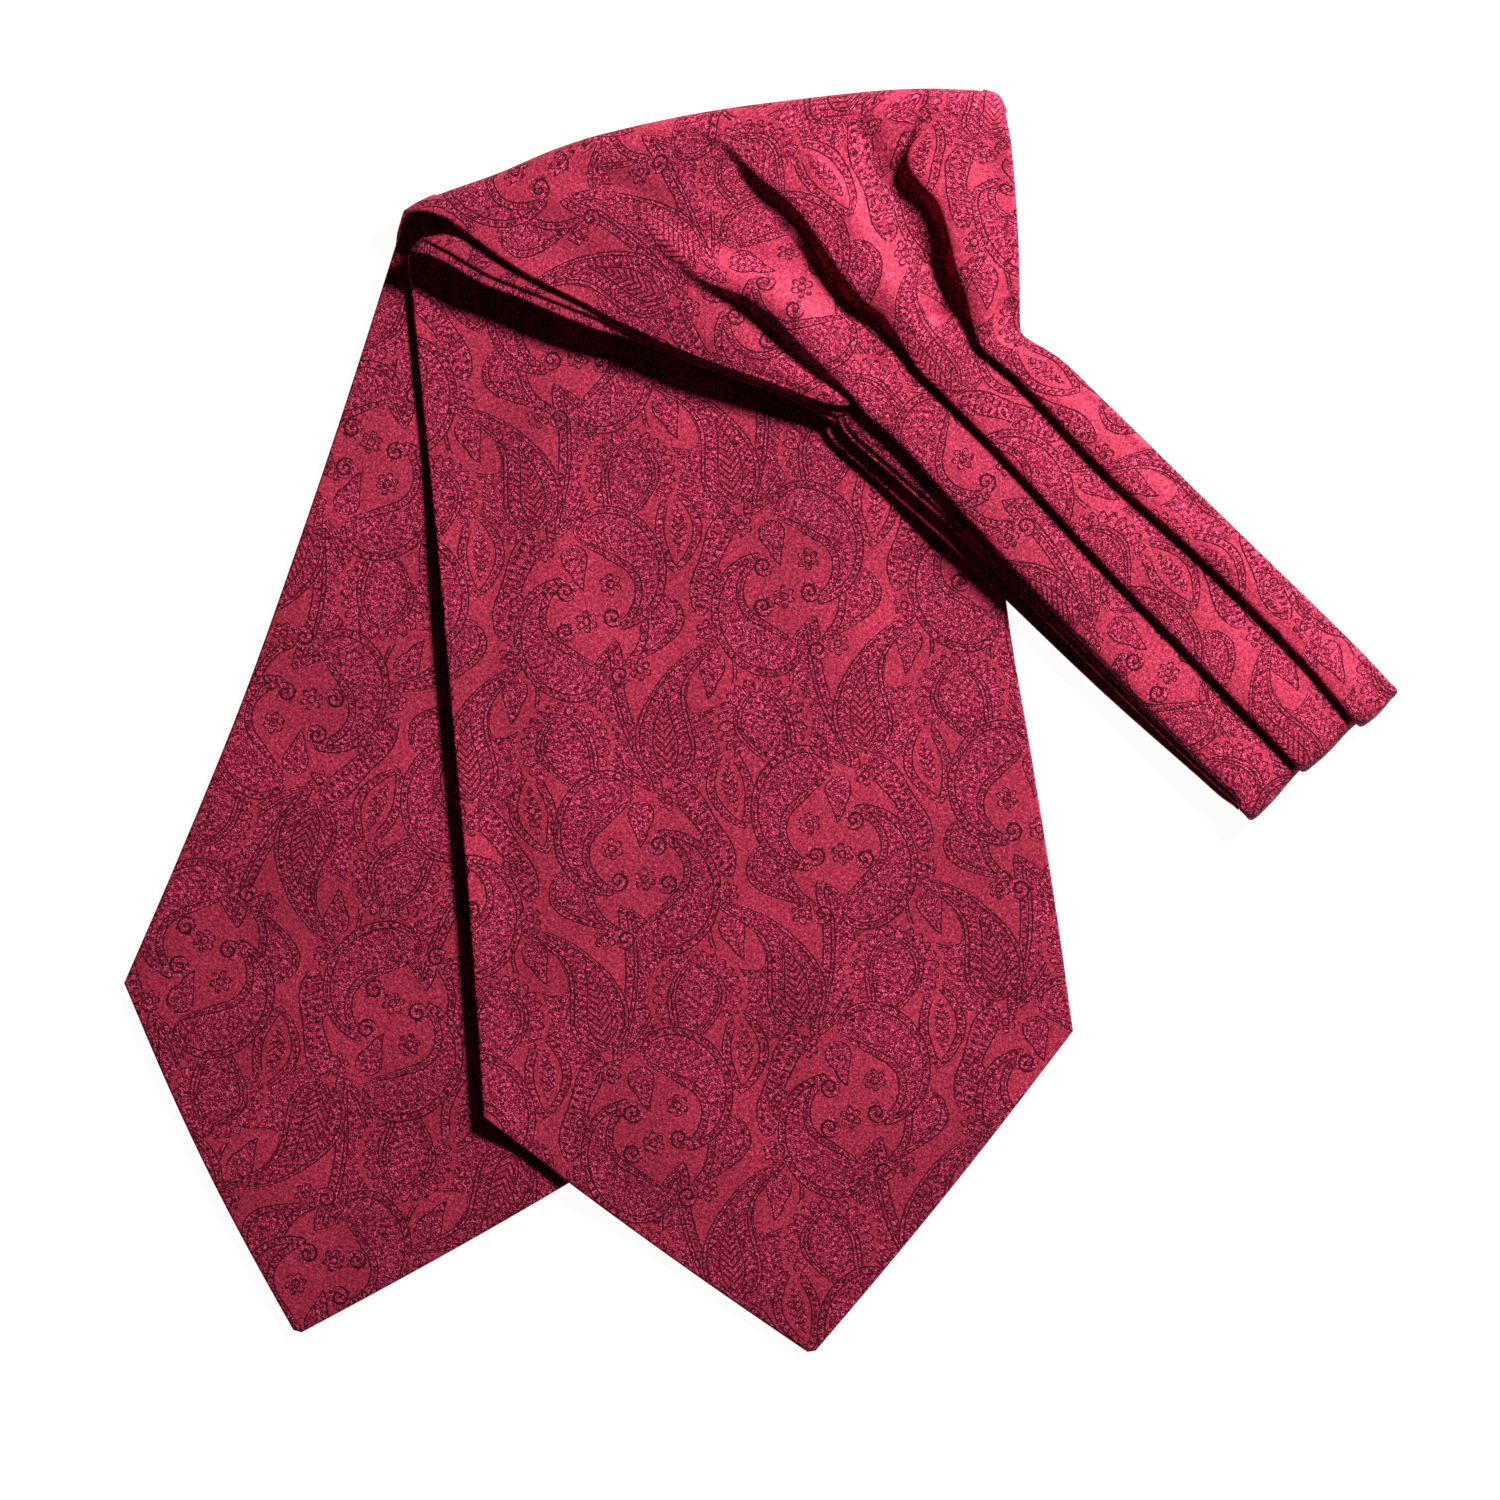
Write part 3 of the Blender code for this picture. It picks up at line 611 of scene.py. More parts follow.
def outer_rows():
    """All rows of the outer cloth, from below the turn to the turned-under end, and their lines."""
    rows, ways = [], []
    first, first_lines = fan_keys(0.0)
    first = [k + b.to_3d() for k, b in zip(first, turn_bow(0.0, first))]
    count = len(first)
    lip = [lip_way(c / (count - 1)) for c in range(count)]
    rows.append([Vector((p.x + d.x * TURN_LIP, p.y + d.y * TURN_LIP, LIP_HIGH)) for p, d in zip(first, lip)])
    ways.append([p + lip_way(at) * TURN_LIP for p, (_, at, *_) in zip(first_lines, FAN)])
    for degrees in TURN_ANGLES:
        angle = math.radians(degrees)
        inward = 1 - math.cos(angle)
        if degrees <= 0:
            plan = [p.xy + d * TURN_RADIUS * inward for p, d in zip(first, lip)]
            way = [p + lip_way(at) * TURN_RADIUS * inward for p, (_, at, *_) in zip(first_lines, FAN)]
        else:
            keys, way = fan_keys(TURN_SHARE * inward)
            plan = [(k + b.to_3d()).xy for k, b in zip(keys, turn_bow(TURN_SHARE * inward, keys))]
        rise = 1 + math.sin(angle)
        rows.append([raised(q, LIP_HIGH + (p.z - LIP_HIGH) / 2 * rise) for p, q in zip(first, plan)])
        ways.append(way)
    turned = len(rows)
    for k in range(FAN_ROWS):
        share = TURN_SHARE + (1 - TURN_SHARE) * k / FAN_ROWS
        keys, way = fan_keys(share)
        rows.append([key + b.to_3d() for key, b in zip(keys, turn_bow(share, keys))])
        ways.append(way)
    waist = len(rows)
    for k in range(BAND_ROWS + 1):
        keys, way = band_keys(k / BAND_ROWS)
        rows.append(keys)
        ways.append(way)
    for _ in range(3):
        for held in (rows, ways):
            old = held[waist - SOFTENED:waist + SOFTENED]
            for k, three in enumerate(zip(old, old[1:], old[2:])):
                held[waist - SOFTENED + k + 1] = [(a + b * 2 + c) / 4 for a, b, c in zip(*three)]
    radius = BAND / 2
    end, end_way = rows[-1], ways[-1]
    for degrees in END_TURN:
        angle = math.radians(degrees)
        row = []
        for key in end:
            n = key.z - BAND
            place = key.xy + ALONG * (radius + n) * math.sin(angle)
            z = radius + (radius + n) * math.cos(angle)
            row.append(raised(place, max(z, 0.6 + n * 0.02)))
        rows.append(row)
        ways.append([p + ALONG * (radius + 2.0) * angle for p in end_way])
    return rows, ways, turned, waist


def outer_cloth(material, thick):
    """The outer cloth in one piece."""
    rows, ways, turned, waist = outer_rows()
    folds = folds_ready(FAN_FOLDS)
    key_count = len(rows[0])
    steps = [FINE] * (key_count - 1)
    grid = [rounded(row, steps) for row in rows]
    for r in range(turned, waist + 10):
        grid[r] = [p + Vector((0, 0, fold_height(p, folds))) for p in grid[r]]
    hem = len(LEFT_HEM)
    seams, at = [0], hem
    for k in range(3):
        at += TOP_KEYS[k]
        seams.append((at + 1) * FINE)
        at += len(OPEN_CREASE) - 1
    seams.append(len(grid[0]) - 1)
    columns = len(grid[0])
    marks_for = [cloth_marks(grid, ways, turned, waist, strip) for strip in range(4)]
    corners = [p for row in grid for p in row]
    faces, marks = [], []
    for r in range(len(grid) - 1):
        strip = 0
        for c in range(columns - 1):
            while strip < 3 and c >= seams[strip + 1]:
                strip += 1
            i = r * columns + c
            quad = (i, i + columns, i + columns + 1, i + 1)
            faces.append(quad)
            for k in quad:
                marks.append(marks_for[strip][k // columns][k % columns])
    piece = mesh_object("outer_cloth", corners, faces, marks, material)
    thickened(piece, thick)
    return piece


def cloth_marks(grid, ways, turned, waist, strip):
    """Cloth map of one strip of the outer cloth: across it from its own line, and along that line."""
    out = [[] for _ in grid]
    if strip == 0:
        start, end = FLAP_GRAIN
        way = (end - start).normalized()
        over = Vector((way.y, -way.x))
        for r in range(turned, len(grid)):
            out[r] = [((p.xy - start).dot(over), (p.xy - start).dot(way)) for p in grid[r]]
    else:
        line = [way[strip] for way in ways]
        reach = reach_along(line)
        for r in range(turned, len(grid)):
            way = (line[max(r - WAY_ROWS, turned)] - line[min(r + WAY_ROWS, len(line) - 1)]).normalized()
            over = Vector((way.y, -way.x))
            base = reach[waist] - reach[r]
            offs = [p.xy - line[r] for p in grid[r]]
            out[r] = [(STRIP_START[strip] + off.dot(over), base + off.dot(way)) for off in offs]
    for r in range(turned - 1, -1, -1):
        out[r] = [(u, v + (p - q).length) for (u, v), p, q in zip(out[r + 1], grid[r], grid[r + 1])]
    return out


# The inner cloth


def tube_piece(name, sections, material, up_line):
    """A folded stack of cloth as a closed tube through its sections, with a cloth map along it."""
    count = len(sections[0])
    corners = [p for section in sections for p in section]
    faces, marks = [], []
    round_way = [reach_along(section) for section in sections]
    along = reach_along(up_line)
    for s in range(len(sections) - 1):
        for k in range(count):
            n = (k + 1) % count
            quad = (s * count + k, s * count + n, (s + 1) * count + n, (s + 1) * count + k)
            faces.append(quad)
            for i in quad:
                r, c = i // count, i % count
                wrap = round_way[r][c] if n or c else round_way[r][-1] + 1.0
                marks.append((wrap, along[r]))
    for s in (0, len(sections) - 1):
        middle = sum(sections[s], Vector()) / count
        corners.append(middle)
        for k in range(count):
            n = (k + 1) % count
            tri = (s * count + k, s * count + n, len(corners) - 1)
            faces.append(tri if s else tuple(reversed(tri)))
            marks += [(0.0, along[s])] * 3
    piece = mesh_object(name, corners, faces, marks, material)
    work = bmesh.new()
    work.from_mesh(piece.data)
    bmesh.ops.recalc_face_normals(work, faces=work.faces)
    work.to_mesh(piece.data)
    work.free()
    return piece


def inner_cloth(material):
    """The inner cloth's turn and fan, folded in two edges inside the outer cloth, hollow below them."""
    sections, line = [], []
    count = INNER_STEPS
    for r in range(INNER_ROWS):
        at = r / (INNER_ROWS - 1)
        keys, _ = fan_keys(TURN_SHARE + (1 - TURN_SHARE) * at)
        tops = keys[len(LEFT_HEM):-len(RIGHT_HEM)]
        upper, lower = follow(UPPER_FOLD, at), follow(LOWER_FOLD, at)
        high, low = station(UPPER_HIGH, at), station(LOWER_HIGH, at)
        way = (tops[-1].xy - upper).normalized()
        right = tops[-1].xy - way * INNER_INSET
        left = upper + way * 5.0
        top = []
        for k in range(count + 1):
            place = right.lerp(left, k / count)
            near = min(tops, key=lambda p: (p.xy - place).length)
            top.append(raised(place, near.z - INNER_ROOM))
        level_tops = [(a.z + b.z * 2 + c.z) / 4 for a, b, c in zip(top, top[1:], top[2:])]
        for p, z in zip(top[1:-1], level_tops):
            p.z = min(z, p.z)
        side = [(upper + way * 2.0, high), (upper + way * 0.7, high - 0.05), (upper, high - 0.6),
                (upper + way * 0.6, low + 0.25), (upper + way * 0.3, low + 0.05),
                (lower.lerp(upper, 0.45), low), (lower + way * 0.3, low - 0.15), (lower, low - 0.7),
                (lower + way * 0.8, low - 1.2), (lower + way * UNDERCUT * 0.6, low - 1.6),
                (lower + way * UNDERCUT, low - 2.4), (lower + way * (UNDERCUT + 2.0), BED)]
        start = lower + way * (UNDERCUT + 3.0)
        section = top[:-1]
        section += [raised(place, max(z, BED)) for place, z in side]
        section += [raised(start.lerp(right, k / count), BED) for k in range(1, count)]
        if r == 0:
            middle = (BED + top[0].z) / 2
            section = [raised(p, middle + (p.z - middle) * NOSE) for p in section]
        sections.append(section)
        line.append(lower)
    steps = [1] * count + [2] * (len(sections[0]) - 2 * count) + [1] * (count - 1)
    sections = [rounded(section, steps) for section in sections]
    return tube_piece("inner_fan_cloth", sections, material, line)


def lower_band(material):
    """The neckband's lower half, layered along its left edge."""
    sections, line = [], []
    for r in range(LOWER_ROWS + 1):
        share = END_ROOM * r / LOWER_ROWS
        edge, crest = on_band(LOWER_EDGE, share), on_band(CREST_3, share)
        right = on_band(EDGE_LINE, share)
        side = (right - edge).normalized()
        right = right - side * 1.6
        room = (crest - edge).length
        inner = edge + side * (room * 0.75)
        strip = min(STRIP_IN, room * 0.5)
        left_layers = [(min(strip + 2.4, room * 0.9), 1.0), (strip + 1.4, STRIP_HIGH + 0.02),
                       (strip + 0.35, STRIP_HIGH), (strip, STRIP_HIGH - 0.14),
                       (strip + 0.5, STRIP_HIGH - 0.3), (strip + 1.6, LOW_LAYER + 0.2),
                       (strip + 0.9, LOW_LAYER + 0.02), (strip * 0.5, LOW_LAYER),
                       (0.3, LOW_LAYER - 0.02), (0.0, LOW_LAYER * 0.5), (0.3, 0.0)]
        section = [raised(right - side * far, z) for far, z in RIGHT_LAYERS]
        section += [raised(inner.lerp(right, f), BAND - 0.05) for f in (0.9, 0.75, 0.6, 0.45, 0.3, 0.15)]
        section += [raised(edge + side * far, BAND * high) for far, high in left_layers]
        section += [raised(edge.lerp(right, f), 0.0) for f in (0.2, 0.4, 0.6, 0.8)]
        for corner in section:
            corner.z += band_bed(corner.xy)
        sections.append(section)
        line.append(edge)
    flat_end = sections[-1]
    for degrees in (20, 40, 60):
        angle = math.radians(degrees)
        out = ALONG * (BAND / 2) * math.sin(angle)
        flat = math.cos(angle)
        sections.append([raised(p.xy + out, BAND / 2 + (p.z - BAND / 2) * flat) for p in flat_end])
        line.append(line[-1] + ALONG)
    steps = [1] * 15 + [2] * (len(flat_end) - 20) + [1] * 4
    sections = [rounded(section, steps) for section in sections]
    return tube_piece("lower_band_cloth", sections, material, line)


# Materials


def linear(code):
    """An sRGB hex colour as linear red, green, blue and alpha."""
    values = [int(code[k:k + 2], 16) / 255 for k in (0, 2, 4)]
    return tuple([v / 12.92 if v <= 0.04045 else ((v + 0.055) / 1.055) ** 2.4 for v in values] + [1.0])


def add(tree, kind, sockets=(), **settings):
    """Adds a node with its settings, then its inputs, where a node stands for its first output."""
    made = tree.nodes.new(kind)
    for name, value in settings.items():
        setattr(made, name, value)
    for key, value in sockets.items() if isinstance(sockets, dict) else enumerate(sockets):
        if isinstance(value, bpy.types.Node):
            value = value.outputs[0]
        if isinstance(value, bpy.types.NodeSocket):
            tree.links.new(value, made.inputs[key])
        else:
            made.inputs[key].default_value = value
    return made


def new_material(name):
    """A material with an empty node tree."""
    material = bpy.data.materials.new(name)
    material.use_nodes = True
    material.node_tree.nodes.clear()
    return material


MATH = "ShaderNodeMath"
VECTOR = "ShaderNodeVectorMath"
NOISE = "ShaderNodeTexNoise"
MIX = "ShaderNodeMix"            # its inputs: 0 the share, 2 and 3 two values or 6 and 7 two colours
RANGE = "ShaderNodeMapRange"     # its inputs: a value, the range it comes from, the range it goes to
SHADER = "ShaderNodeBsdfPrincipled"
OUTPUT = "ShaderNodeOutputMaterial"

# The ornament repeats across the cloth, and every second row of it is turned over left to right
REPEAT = 53.0      # across, in millimetres
ROW = 70.0         # up the cloth
TURNED_AT = 26.5   # where a turned row's mirror lies

# Lengths that a shape curve can hold, in millimetres
CURVE_LOW, CURVE_HIGH = -14.0, 18.0
# Distances from a motif's outline that its lines can use, in millimetres, with the inside below nought
EDGE_LOW, EDGE_HIGH = -9.0, 4.0
PLAIN, DARK, PAINTED_LIT_SIDE = 0.5, 1.0, 0.08   # strengths of a drawn line: none, its dark core and its lit side, a painted highlight


def line_at(*places):
    """Drawn lines at distances from the outline, each a dark core with a painted highlight on one side."""
    out = [(EDGE_LOW, PLAIN)]
    for place in places:
        out += [(place - 0.85, PLAIN), (place - 0.55, PAINTED_LIT_SIDE), (place - 0.32, PLAIN), (place - 0.16, DARK),
                (place + 0.08, DARK), (place + 0.28, PLAIN)]
    return out


def band_at(place, width, strength):
    """A strength in a band round a distance from the outline."""
    return [(place - width, 0.0), (place - width * 0.4, strength), (place + width * 0.4, strength),
            (place + width, 0.0)]


def inside(place, strength):
    """A strength everywhere deeper than a distance from the outline."""
    return [(EDGE_LOW, strength), (place, strength), (place + 0.4, 0.0)]


FULL = [(EDGE_LOW, 1.0), (0.2, 1.0), (0.45, 0.0)]
NOTHING = [(EDGE_LOW, 0.0), (0.0, 0.0)]
# Each motif: whether it is laid out round its bay or up its length; its length in millimetres or its turn in
# degrees; its middle line and its half width, each at shares of its length; where it is figured; its
# outlines; its row of beads and their spacing; its veins, their spacing and their slant
MOTIFS = {
    "crowned paisley": dict(
        round=False, length=31.0,
        middle=[(0.0, 9.2), (0.1, 8.8), (0.25, 6.6), (0.42, 3.0), (0.6, 0.7), (0.75, 0.0), (1.0, 0.0)],
        half=[(0.0, -0.6), (0.04, 0.9), (0.15, 1.7), (0.3, 3.4), (0.5, 6.3), (0.68, 7.9), (0.8, 7.2),
              (0.9, 5.3), (0.96, 3.4), (1.0, -0.8)],
        figured=FULL, lines=line_at(-2.1, -1.1, 0.0), beads=band_at(-3.1, 0.6, 0.5), bead=1.5,
        veins=inside(-4.2, 0.28), vein=2.2, slant=0.8),
    "leafy paisley": dict(
        round=False, length=38.0,
        middle=[(0.0, 0.0), (0.2, -0.6), (0.4, -1.0), (0.58, 0.2), (0.75, 4.0), (0.88, 9.5), (1.0, 16.5)],
        half=[(0.0, -1.0), (0.03, 3.4), (0.1, 6.4), (0.2, 7.8), (0.32, 7.6), (0.48, 6.0), (0.64, 4.2),
              (0.8, 3.4), (0.92, 2.6), (1.0, -0.6)],
        figured=[(EDGE_LOW, 0.55), (-4.9, 0.55), (-4.6, 1.0), (0.2, 1.0), (0.45, 0.0)],
        lines=line_at(-4.6, -1.1, 0.0), beads=band_at(-1.9, 0.6, 0.5), bead=1.5,
        veins=[(EDGE_LOW, 0.5), (-5.2, 0.5), (-4.8, 0.0), (-4.0, 0.4), (-2.8, 0.4), (-2.4, 0.0)],
        vein=2.0, slant=1.1),
    "comma": dict(
        round=True, length=204.0,
        middle=[(0.0, 14.4), (0.12, 13.8), (0.3, 12.3), (0.5, 11.2), (0.75, 11.1), (1.0, 11.8)],
        half=[(0.0, -1.0), (0.025, 3.0), (0.07, 5.2), (0.15, 6.9), (0.26, 7.1), (0.42, 5.9), (0.6, 4.4),
              (0.8, 2.9), (0.95, 1.5), (0.98, 1.2), (1.0, -0.6)],
        figured=FULL, lines=line_at(-1.9, 0.0), beads=band_at(-1.0, 0.6, 0.5), bead=0.13,
        veins=inside(-3.0, 0.28), vein=0.16, slant=0.9),
    "almond": dict(
        round=False, length=24.0,
        middle=[(0.0, 0.8), (0.5, -0.8), (1.0, 0.8)],
        half=[(0.0, -0.5), (0.1, 2.4), (0.25, 4.6), (0.5, 6.2), (0.75, 4.6), (0.9, 2.4), (1.0, -0.5)],
        figured=[(EDGE_LOW, 1.0), (-4.0, 1.0), (-3.8, 0.0), (-2.5, 0.0), (-2.3, 1.0), (0.2, 1.0),
                 (0.45, 0.0)], lines=line_at(-2.3, 0.0), beads=band_at(-1.2, 0.7, 0.5), bead=1.6,
        veins=inside(-4.4, 0.4), vein=1.8, slant=0.8),
    "field": dict(
        round=False, length=44.0,
        middle=[(0.0, 7.0), (0.2, 1.5), (0.45, -2.6), (0.7, -2.6), (0.88, 0.4), (1.0, 4.0)],
        half=[(0.0, -1.0), (0.08, 2.6), (0.25, 5.0), (0.5, 6.0), (0.72, 5.2), (0.9, 3.2), (1.0, -1.0)],
        figured=FULL, lines=line_at(-3.2, -2.2, 0.0), beads=band_at(-1.1, 0.6, 0.5), bead=1.7,
        veins=inside(-4.0, 0.28), vein=2.0, slant=-0.9),
    "back leaf": dict(
        round=False, length=34.0,
        middle=[(0.0, -3.0), (0.3, 0.0), (0.6, 1.6), (0.85, 0.4), (1.0, -2.0)],
        half=[(0.0, -1.0), (0.05, 4.0), (0.15, 7.4), (0.32, 9.4), (0.55, 8.6), (0.75, 5.8), (0.9, 3.0),
              (1.0, -1.0)],
        figured=FULL, lines=line_at(-2.0, 0.0), beads=band_at(-1.0, 0.6, 0.5), bead=1.7,
        veins=inside(-3.0, 0.28), vein=2.2, slant=1.2),
    "bead strip": dict(
        round=False, length=30.0,
        middle=[(0.0, -2.0), (0.4, 0.4), (1.0, 0.0)],
        half=[(0.0, -0.5), (0.06, 2.0), (0.5, 2.7), (0.94, 2.0), (1.0, -0.5)],
        figured=FULL, lines=line_at(0.0), beads=band_at(-1.6, 1.1, 0.5), bead=2.0,
        veins=NOTHING, vein=2.0, slant=0.0),
    "loop": dict(
        round=False, length=22.0,
        middle=[(0.0, -1.0), (0.4, 0.6), (1.0, -0.6)],
        half=[(0.0, -0.6), (0.06, 2.8), (0.2, 5.2), (0.42, 6.4), (0.65, 5.8), (0.85, 3.8), (0.95, 2.0),
              (1.0, -0.6)],
        figured=[(EDGE_LOW, 0.0), (-1.0, 0.0), (-0.8, 1.0), (0.2, 1.0), (0.45, 0.0)],
        lines=line_at(-0.9, 0.0), beads=NOTHING, bead=2.0,
        veins=NOTHING, vein=2.0, slant=0.0),
    "small paisley": dict(
        round=False, length=13.0,
        middle=[(0.0, 2.4), (0.25, 1.8), (0.5, 0.4), (0.75, 0.0), (1.0, 0.3)],
        half=[(0.0, -0.4), (0.2, 1.0), (0.45, 2.4), (0.65, 3.4), (0.82, 3.0), (0.94, 1.7), (1.0, -0.5)],
        figured=FULL, lines=line_at(0.0), beads=NOTHING, bead=2.0,
        veins=inside(-1.0, 0.28), vein=1.6, slant=0.8),
    "middle paisley": dict(
        round=False, length=23.0,
        middle=[(0.0, 5.4), (0.12, 4.6), (0.3, 2.0), (0.5, 0.2), (0.75, 0.0), (1.0, 0.6)],
        half=[(0.0, -0.5), (0.06, 0.9), (0.2, 1.7), (0.4, 3.4), (0.6, 5.2), (0.74, 5.7), (0.86, 4.6),
              (0.95, 2.6), (1.0, -0.6)],
        figured=FULL, lines=line_at(-1.9, 0.0), beads=band_at(-0.95, 0.6, 0.5), bead=1.4,
        veins=inside(-2.8, 0.28), vein=1.8, slant=0.9),
}

# Where the motifs lie in one repeat, from the lowest layer up: motif, row that it belongs to, place of its
# foot or of its bay's middle across and up, and its turn in degrees. Row 1 lies half a row lower.
LAYOUT = [
    ("field", 0, 17.5, -17.0, 5.0),
    ("back leaf", 0, 34.5, -15.0, -8.0),
    ("bead strip", 1, 41.5, -4.0, 28.0),
    ("almond", 0, 44.0, -28.0, 5.0),
    ("loop", 0, 35.5, 4.0, -28.0),
    ("small paisley", 0, 37.0, 8.5, -30.0),
    ("leafy paisley", 0, 26.5, -12.0, -5.0),
    ("middle paisley", 1, 3.0, -19.0, 24.0),
    ("small paisley", 1, 14.0, 6.2, -24.0),
    ("crowned paisley", 0, 0.0, -22.0, 0.0),
    ("comma", 1, 9.5, 7.0, 162.0),
    ("comma", 1, 20.5, -3.0, -15.0),
]
CROWNED = "crowned paisley"
CROWN = (24, 8.8, 3.1)    # petals round its head: number, radius where they start, and length
CURLS = [(1, 9.5, -2.2), (1, 21.0, 6.1), (1, 9.4, -17.8), (1, 22.4, -4.5)]   # row, across, up
CURL_SIZE, CURL_PITCH = 2.7, 1.8
FLORET = (6, 1.0, 1.9)    # petals of a floret, in the same way
FLORETS = [(1, 25.5, 17.5), (1, 38.0, -9.0), (1, 16.6, -2.6), (1, 35.2, 5.0), (1, 9.0, 6.5), (0, 22.5, 18.0)]


def shape_curve(tree, share, points):
    """A length in millimetres that follows a curve through points."""
    made = add(tree, "ShaderNodeFloatCurve", {"Value": share})
    span = CURVE_HIGH - CURVE_LOW
    places = [(at, (value - CURVE_LOW) / span) for at, value in points]
    curve = made.mapping.curves[0]
    curve.points[0].location, curve.points[1].location = places[0], places[-1]
    for place in places[1:-1]:
        curve.points.new(*place)
    made.mapping.extend = "HORIZONTAL"
    made.mapping.update()
    return add(tree, MATH, [made, span, CURVE_LOW], operation="MULTIPLY_ADD")


def level(points, at):
    """The strength that straight steps through points give at a place."""
    if at <= points[0][0]:
        return points[0][1]
    for (a, first), (b, second) in zip(points, points[1:]):
        if a <= at <= b:
            return first if b == a else first + (second - first) * (at - a) / (b - a)
    return points[-1][1]


def edge_ramp(tree, edge, channels):
    """Strengths of figure, lines, beads and veins at a distance from the outline."""
    share = add(tree, RANGE, [edge, EDGE_LOW, EDGE_HIGH])
    made = add(tree, "ShaderNodeValToRGB", [share])
    stops = sorted({round(at, 3) for points in channels for at, _ in points if EDGE_LOW <= at <= EDGE_HIGH})
    ramp = made.color_ramp
    while len(ramp.elements) < len(stops):
        ramp.elements.new(0.5)
    for element, at in zip(ramp.elements, stops):
        element.position = (at - EDGE_LOW) / (EDGE_HIGH - EDGE_LOW)
    for element, at in zip(ramp.elements, stops):
        element.color = [level(points, at) for points in channels]
    parts = add(tree, "ShaderNodeSeparateColor", [made])
    return parts.outputs[0], parts.outputs[1], parts.outputs[2], made.outputs["Alpha"]


def row_frame(tree, place, lift):
    """Across and up, in one repeat's own axes, of the ornament's row nearest to each place."""
    parts = add(tree, "ShaderNodeSeparateXYZ", [place]).outputs
    up = add(tree, MATH, [parts[1], lift], operation="SUBTRACT")
    rows = add(tree, MATH, [up, ROW], operation="DIVIDE")
    row = add(tree, MATH, [rows], operation="ROUND")
    up = add(tree, MATH, [row, -ROW, up], operation="MULTIPLY_ADD")
    odd = add(tree, MATH, [row, 2.0], operation="FLOORED_MODULO")
    sign = add(tree, MATH, [odd, -2.0, 1.0], operation="MULTIPLY_ADD")
    shift = add(tree, MATH, [odd, TURNED_AT], operation="MULTIPLY")
    over = add(tree, MATH, [parts[0], sign, shift], operation="MULTIPLY_ADD")
    return over, up


def spot(tree, row, across, up, turn=0.0):
    """Places measured from a point of the repeat, turned to a motif's own axes."""
    over, high = row
    near = add(tree, MATH, [over, across + REPEAT / 2, across - REPEAT / 2], operation="WRAP")
    both = add(tree, "ShaderNodeCombineXYZ", [near, high])
    moved = {"Vector": both, "Location": (across, up, 0.0), "Rotation": (0.0, 0.0, math.radians(turn))}
    return add(tree, "ShaderNodeMapping", moved, vector_type="TEXTURE")


def polar(tree, place, turned=False):
    """The angle round a place, from across or, where it is turned, from up, and the distance from it."""
    parts = add(tree, "ShaderNodeSeparateXYZ", [place]).outputs
    sides = [parts[0], parts[1]] if turned else [parts[1], parts[0]]
    angle = add(tree, MATH, sides, operation="ARCTAN2")
    out = add(tree, VECTOR, [place], operation="LENGTH").outputs["Value"]
    return angle, out


def motif(tree, place, shape):
    """Extent, figure and lines of one motif, from places in its own axes."""
    if shape["round"]:
        along, cross = polar(tree, place)
        turn = math.radians(shape["length"])
        share = add(tree, RANGE, [along, -turn / 2, turn / 2])
    else:
        cross, along, _ = add(tree, "ShaderNodeSeparateXYZ", [place]).outputs
        share = add(tree, MATH, [along, shape["length"]], operation="DIVIDE")
    middle = shape_curve(tree, share, shape["middle"])
    half = shape_curve(tree, share, shape["half"])
    off = add(tree, MATH, [cross, middle], operation="SUBTRACT")
    off = add(tree, MATH, [off], operation="ABSOLUTE")
    edge = add(tree, MATH, [off, half], operation="SUBTRACT")
    cover = add(tree, RANGE, [edge, 0.45, 0.2])
    channels = [shape[key] for key in ("figured", "lines", "beads", "veins")]
    figure, line, beads, veins = edge_ramp(tree, edge, channels)
    bead = add(tree, MATH, [along, math.tau / shape["bead"]], operation="MULTIPLY")
    slant = -shape["slant"] * math.tau / (3.0 if shape["round"] else shape["vein"])
    vein = add(tree, MATH, [off, slant], operation="MULTIPLY")
    vein = add(tree, MATH, [along, math.tau / shape["vein"], vein], operation="MULTIPLY_ADD")
    for wave, strength in ((bead, beads), (vein, veins)):
        wave = add(tree, MATH, [wave], operation="SINE")
        wave = add(tree, MATH, [wave, strength, PLAIN], operation="MULTIPLY_ADD")
        line = add(tree, MATH, [line, wave], operation="MAXIMUM")
    return cover, figure, line


def petals(tree, angle, out, kind, fullness):
    """A ring of petals: the wave that parts them, the distance from their edge, their figure and lines."""
    count, start, length = kind
    wave = add(tree, MATH, [angle, count / 2], operation="MULTIPLY")
    wave = add(tree, MATH, [wave], operation="COSINE")
    wave = add(tree, MATH, [wave], operation="ABSOLUTE")
    petal = add(tree, MATH, [wave, fullness], operation="POWER")
    reach = add(tree, MATH, [petal, length, start], operation="MULTIPLY_ADD")
    edge = add(tree, MATH, [out, reach], operation="SUBTRACT")
    figure, line, _, _ = edge_ramp(tree, edge, [FULL, line_at(0.0), NOTHING, NOTHING])
    return wave, edge, figure, line


def crown(tree, place):
    """Petals round a paisley's head, from places measured from the head's middle."""
    _, start, length = CROWN
    angle, out = polar(tree, place, turned=True)
    wave, _, figure, line = petals(tree, angle, out, CROWN, 0.45)
    parting = add(tree, RANGE, [wave, 0.26, 0.1, PLAIN, DARK])
    within = add(tree, RANGE, [out, start + length * 0.55, start + length * 0.75, DARK, PLAIN])
    parting = add(tree, MATH, [parting, within], operation="MINIMUM")
    line = add(tree, MATH, [line, parting], operation="MAXIMUM")
    wide = add(tree, MATH, [angle], operation="ABSOLUTE")
    fade = add(tree, RANGE, [wide, 2.5, 2.3])
    clear = add(tree, RANGE, [out, start + length + 1.4, start + length + 1.1])
    cover = add(tree, MATH, [clear, fade], operation="MULTIPLY")
    return cover, figure, line


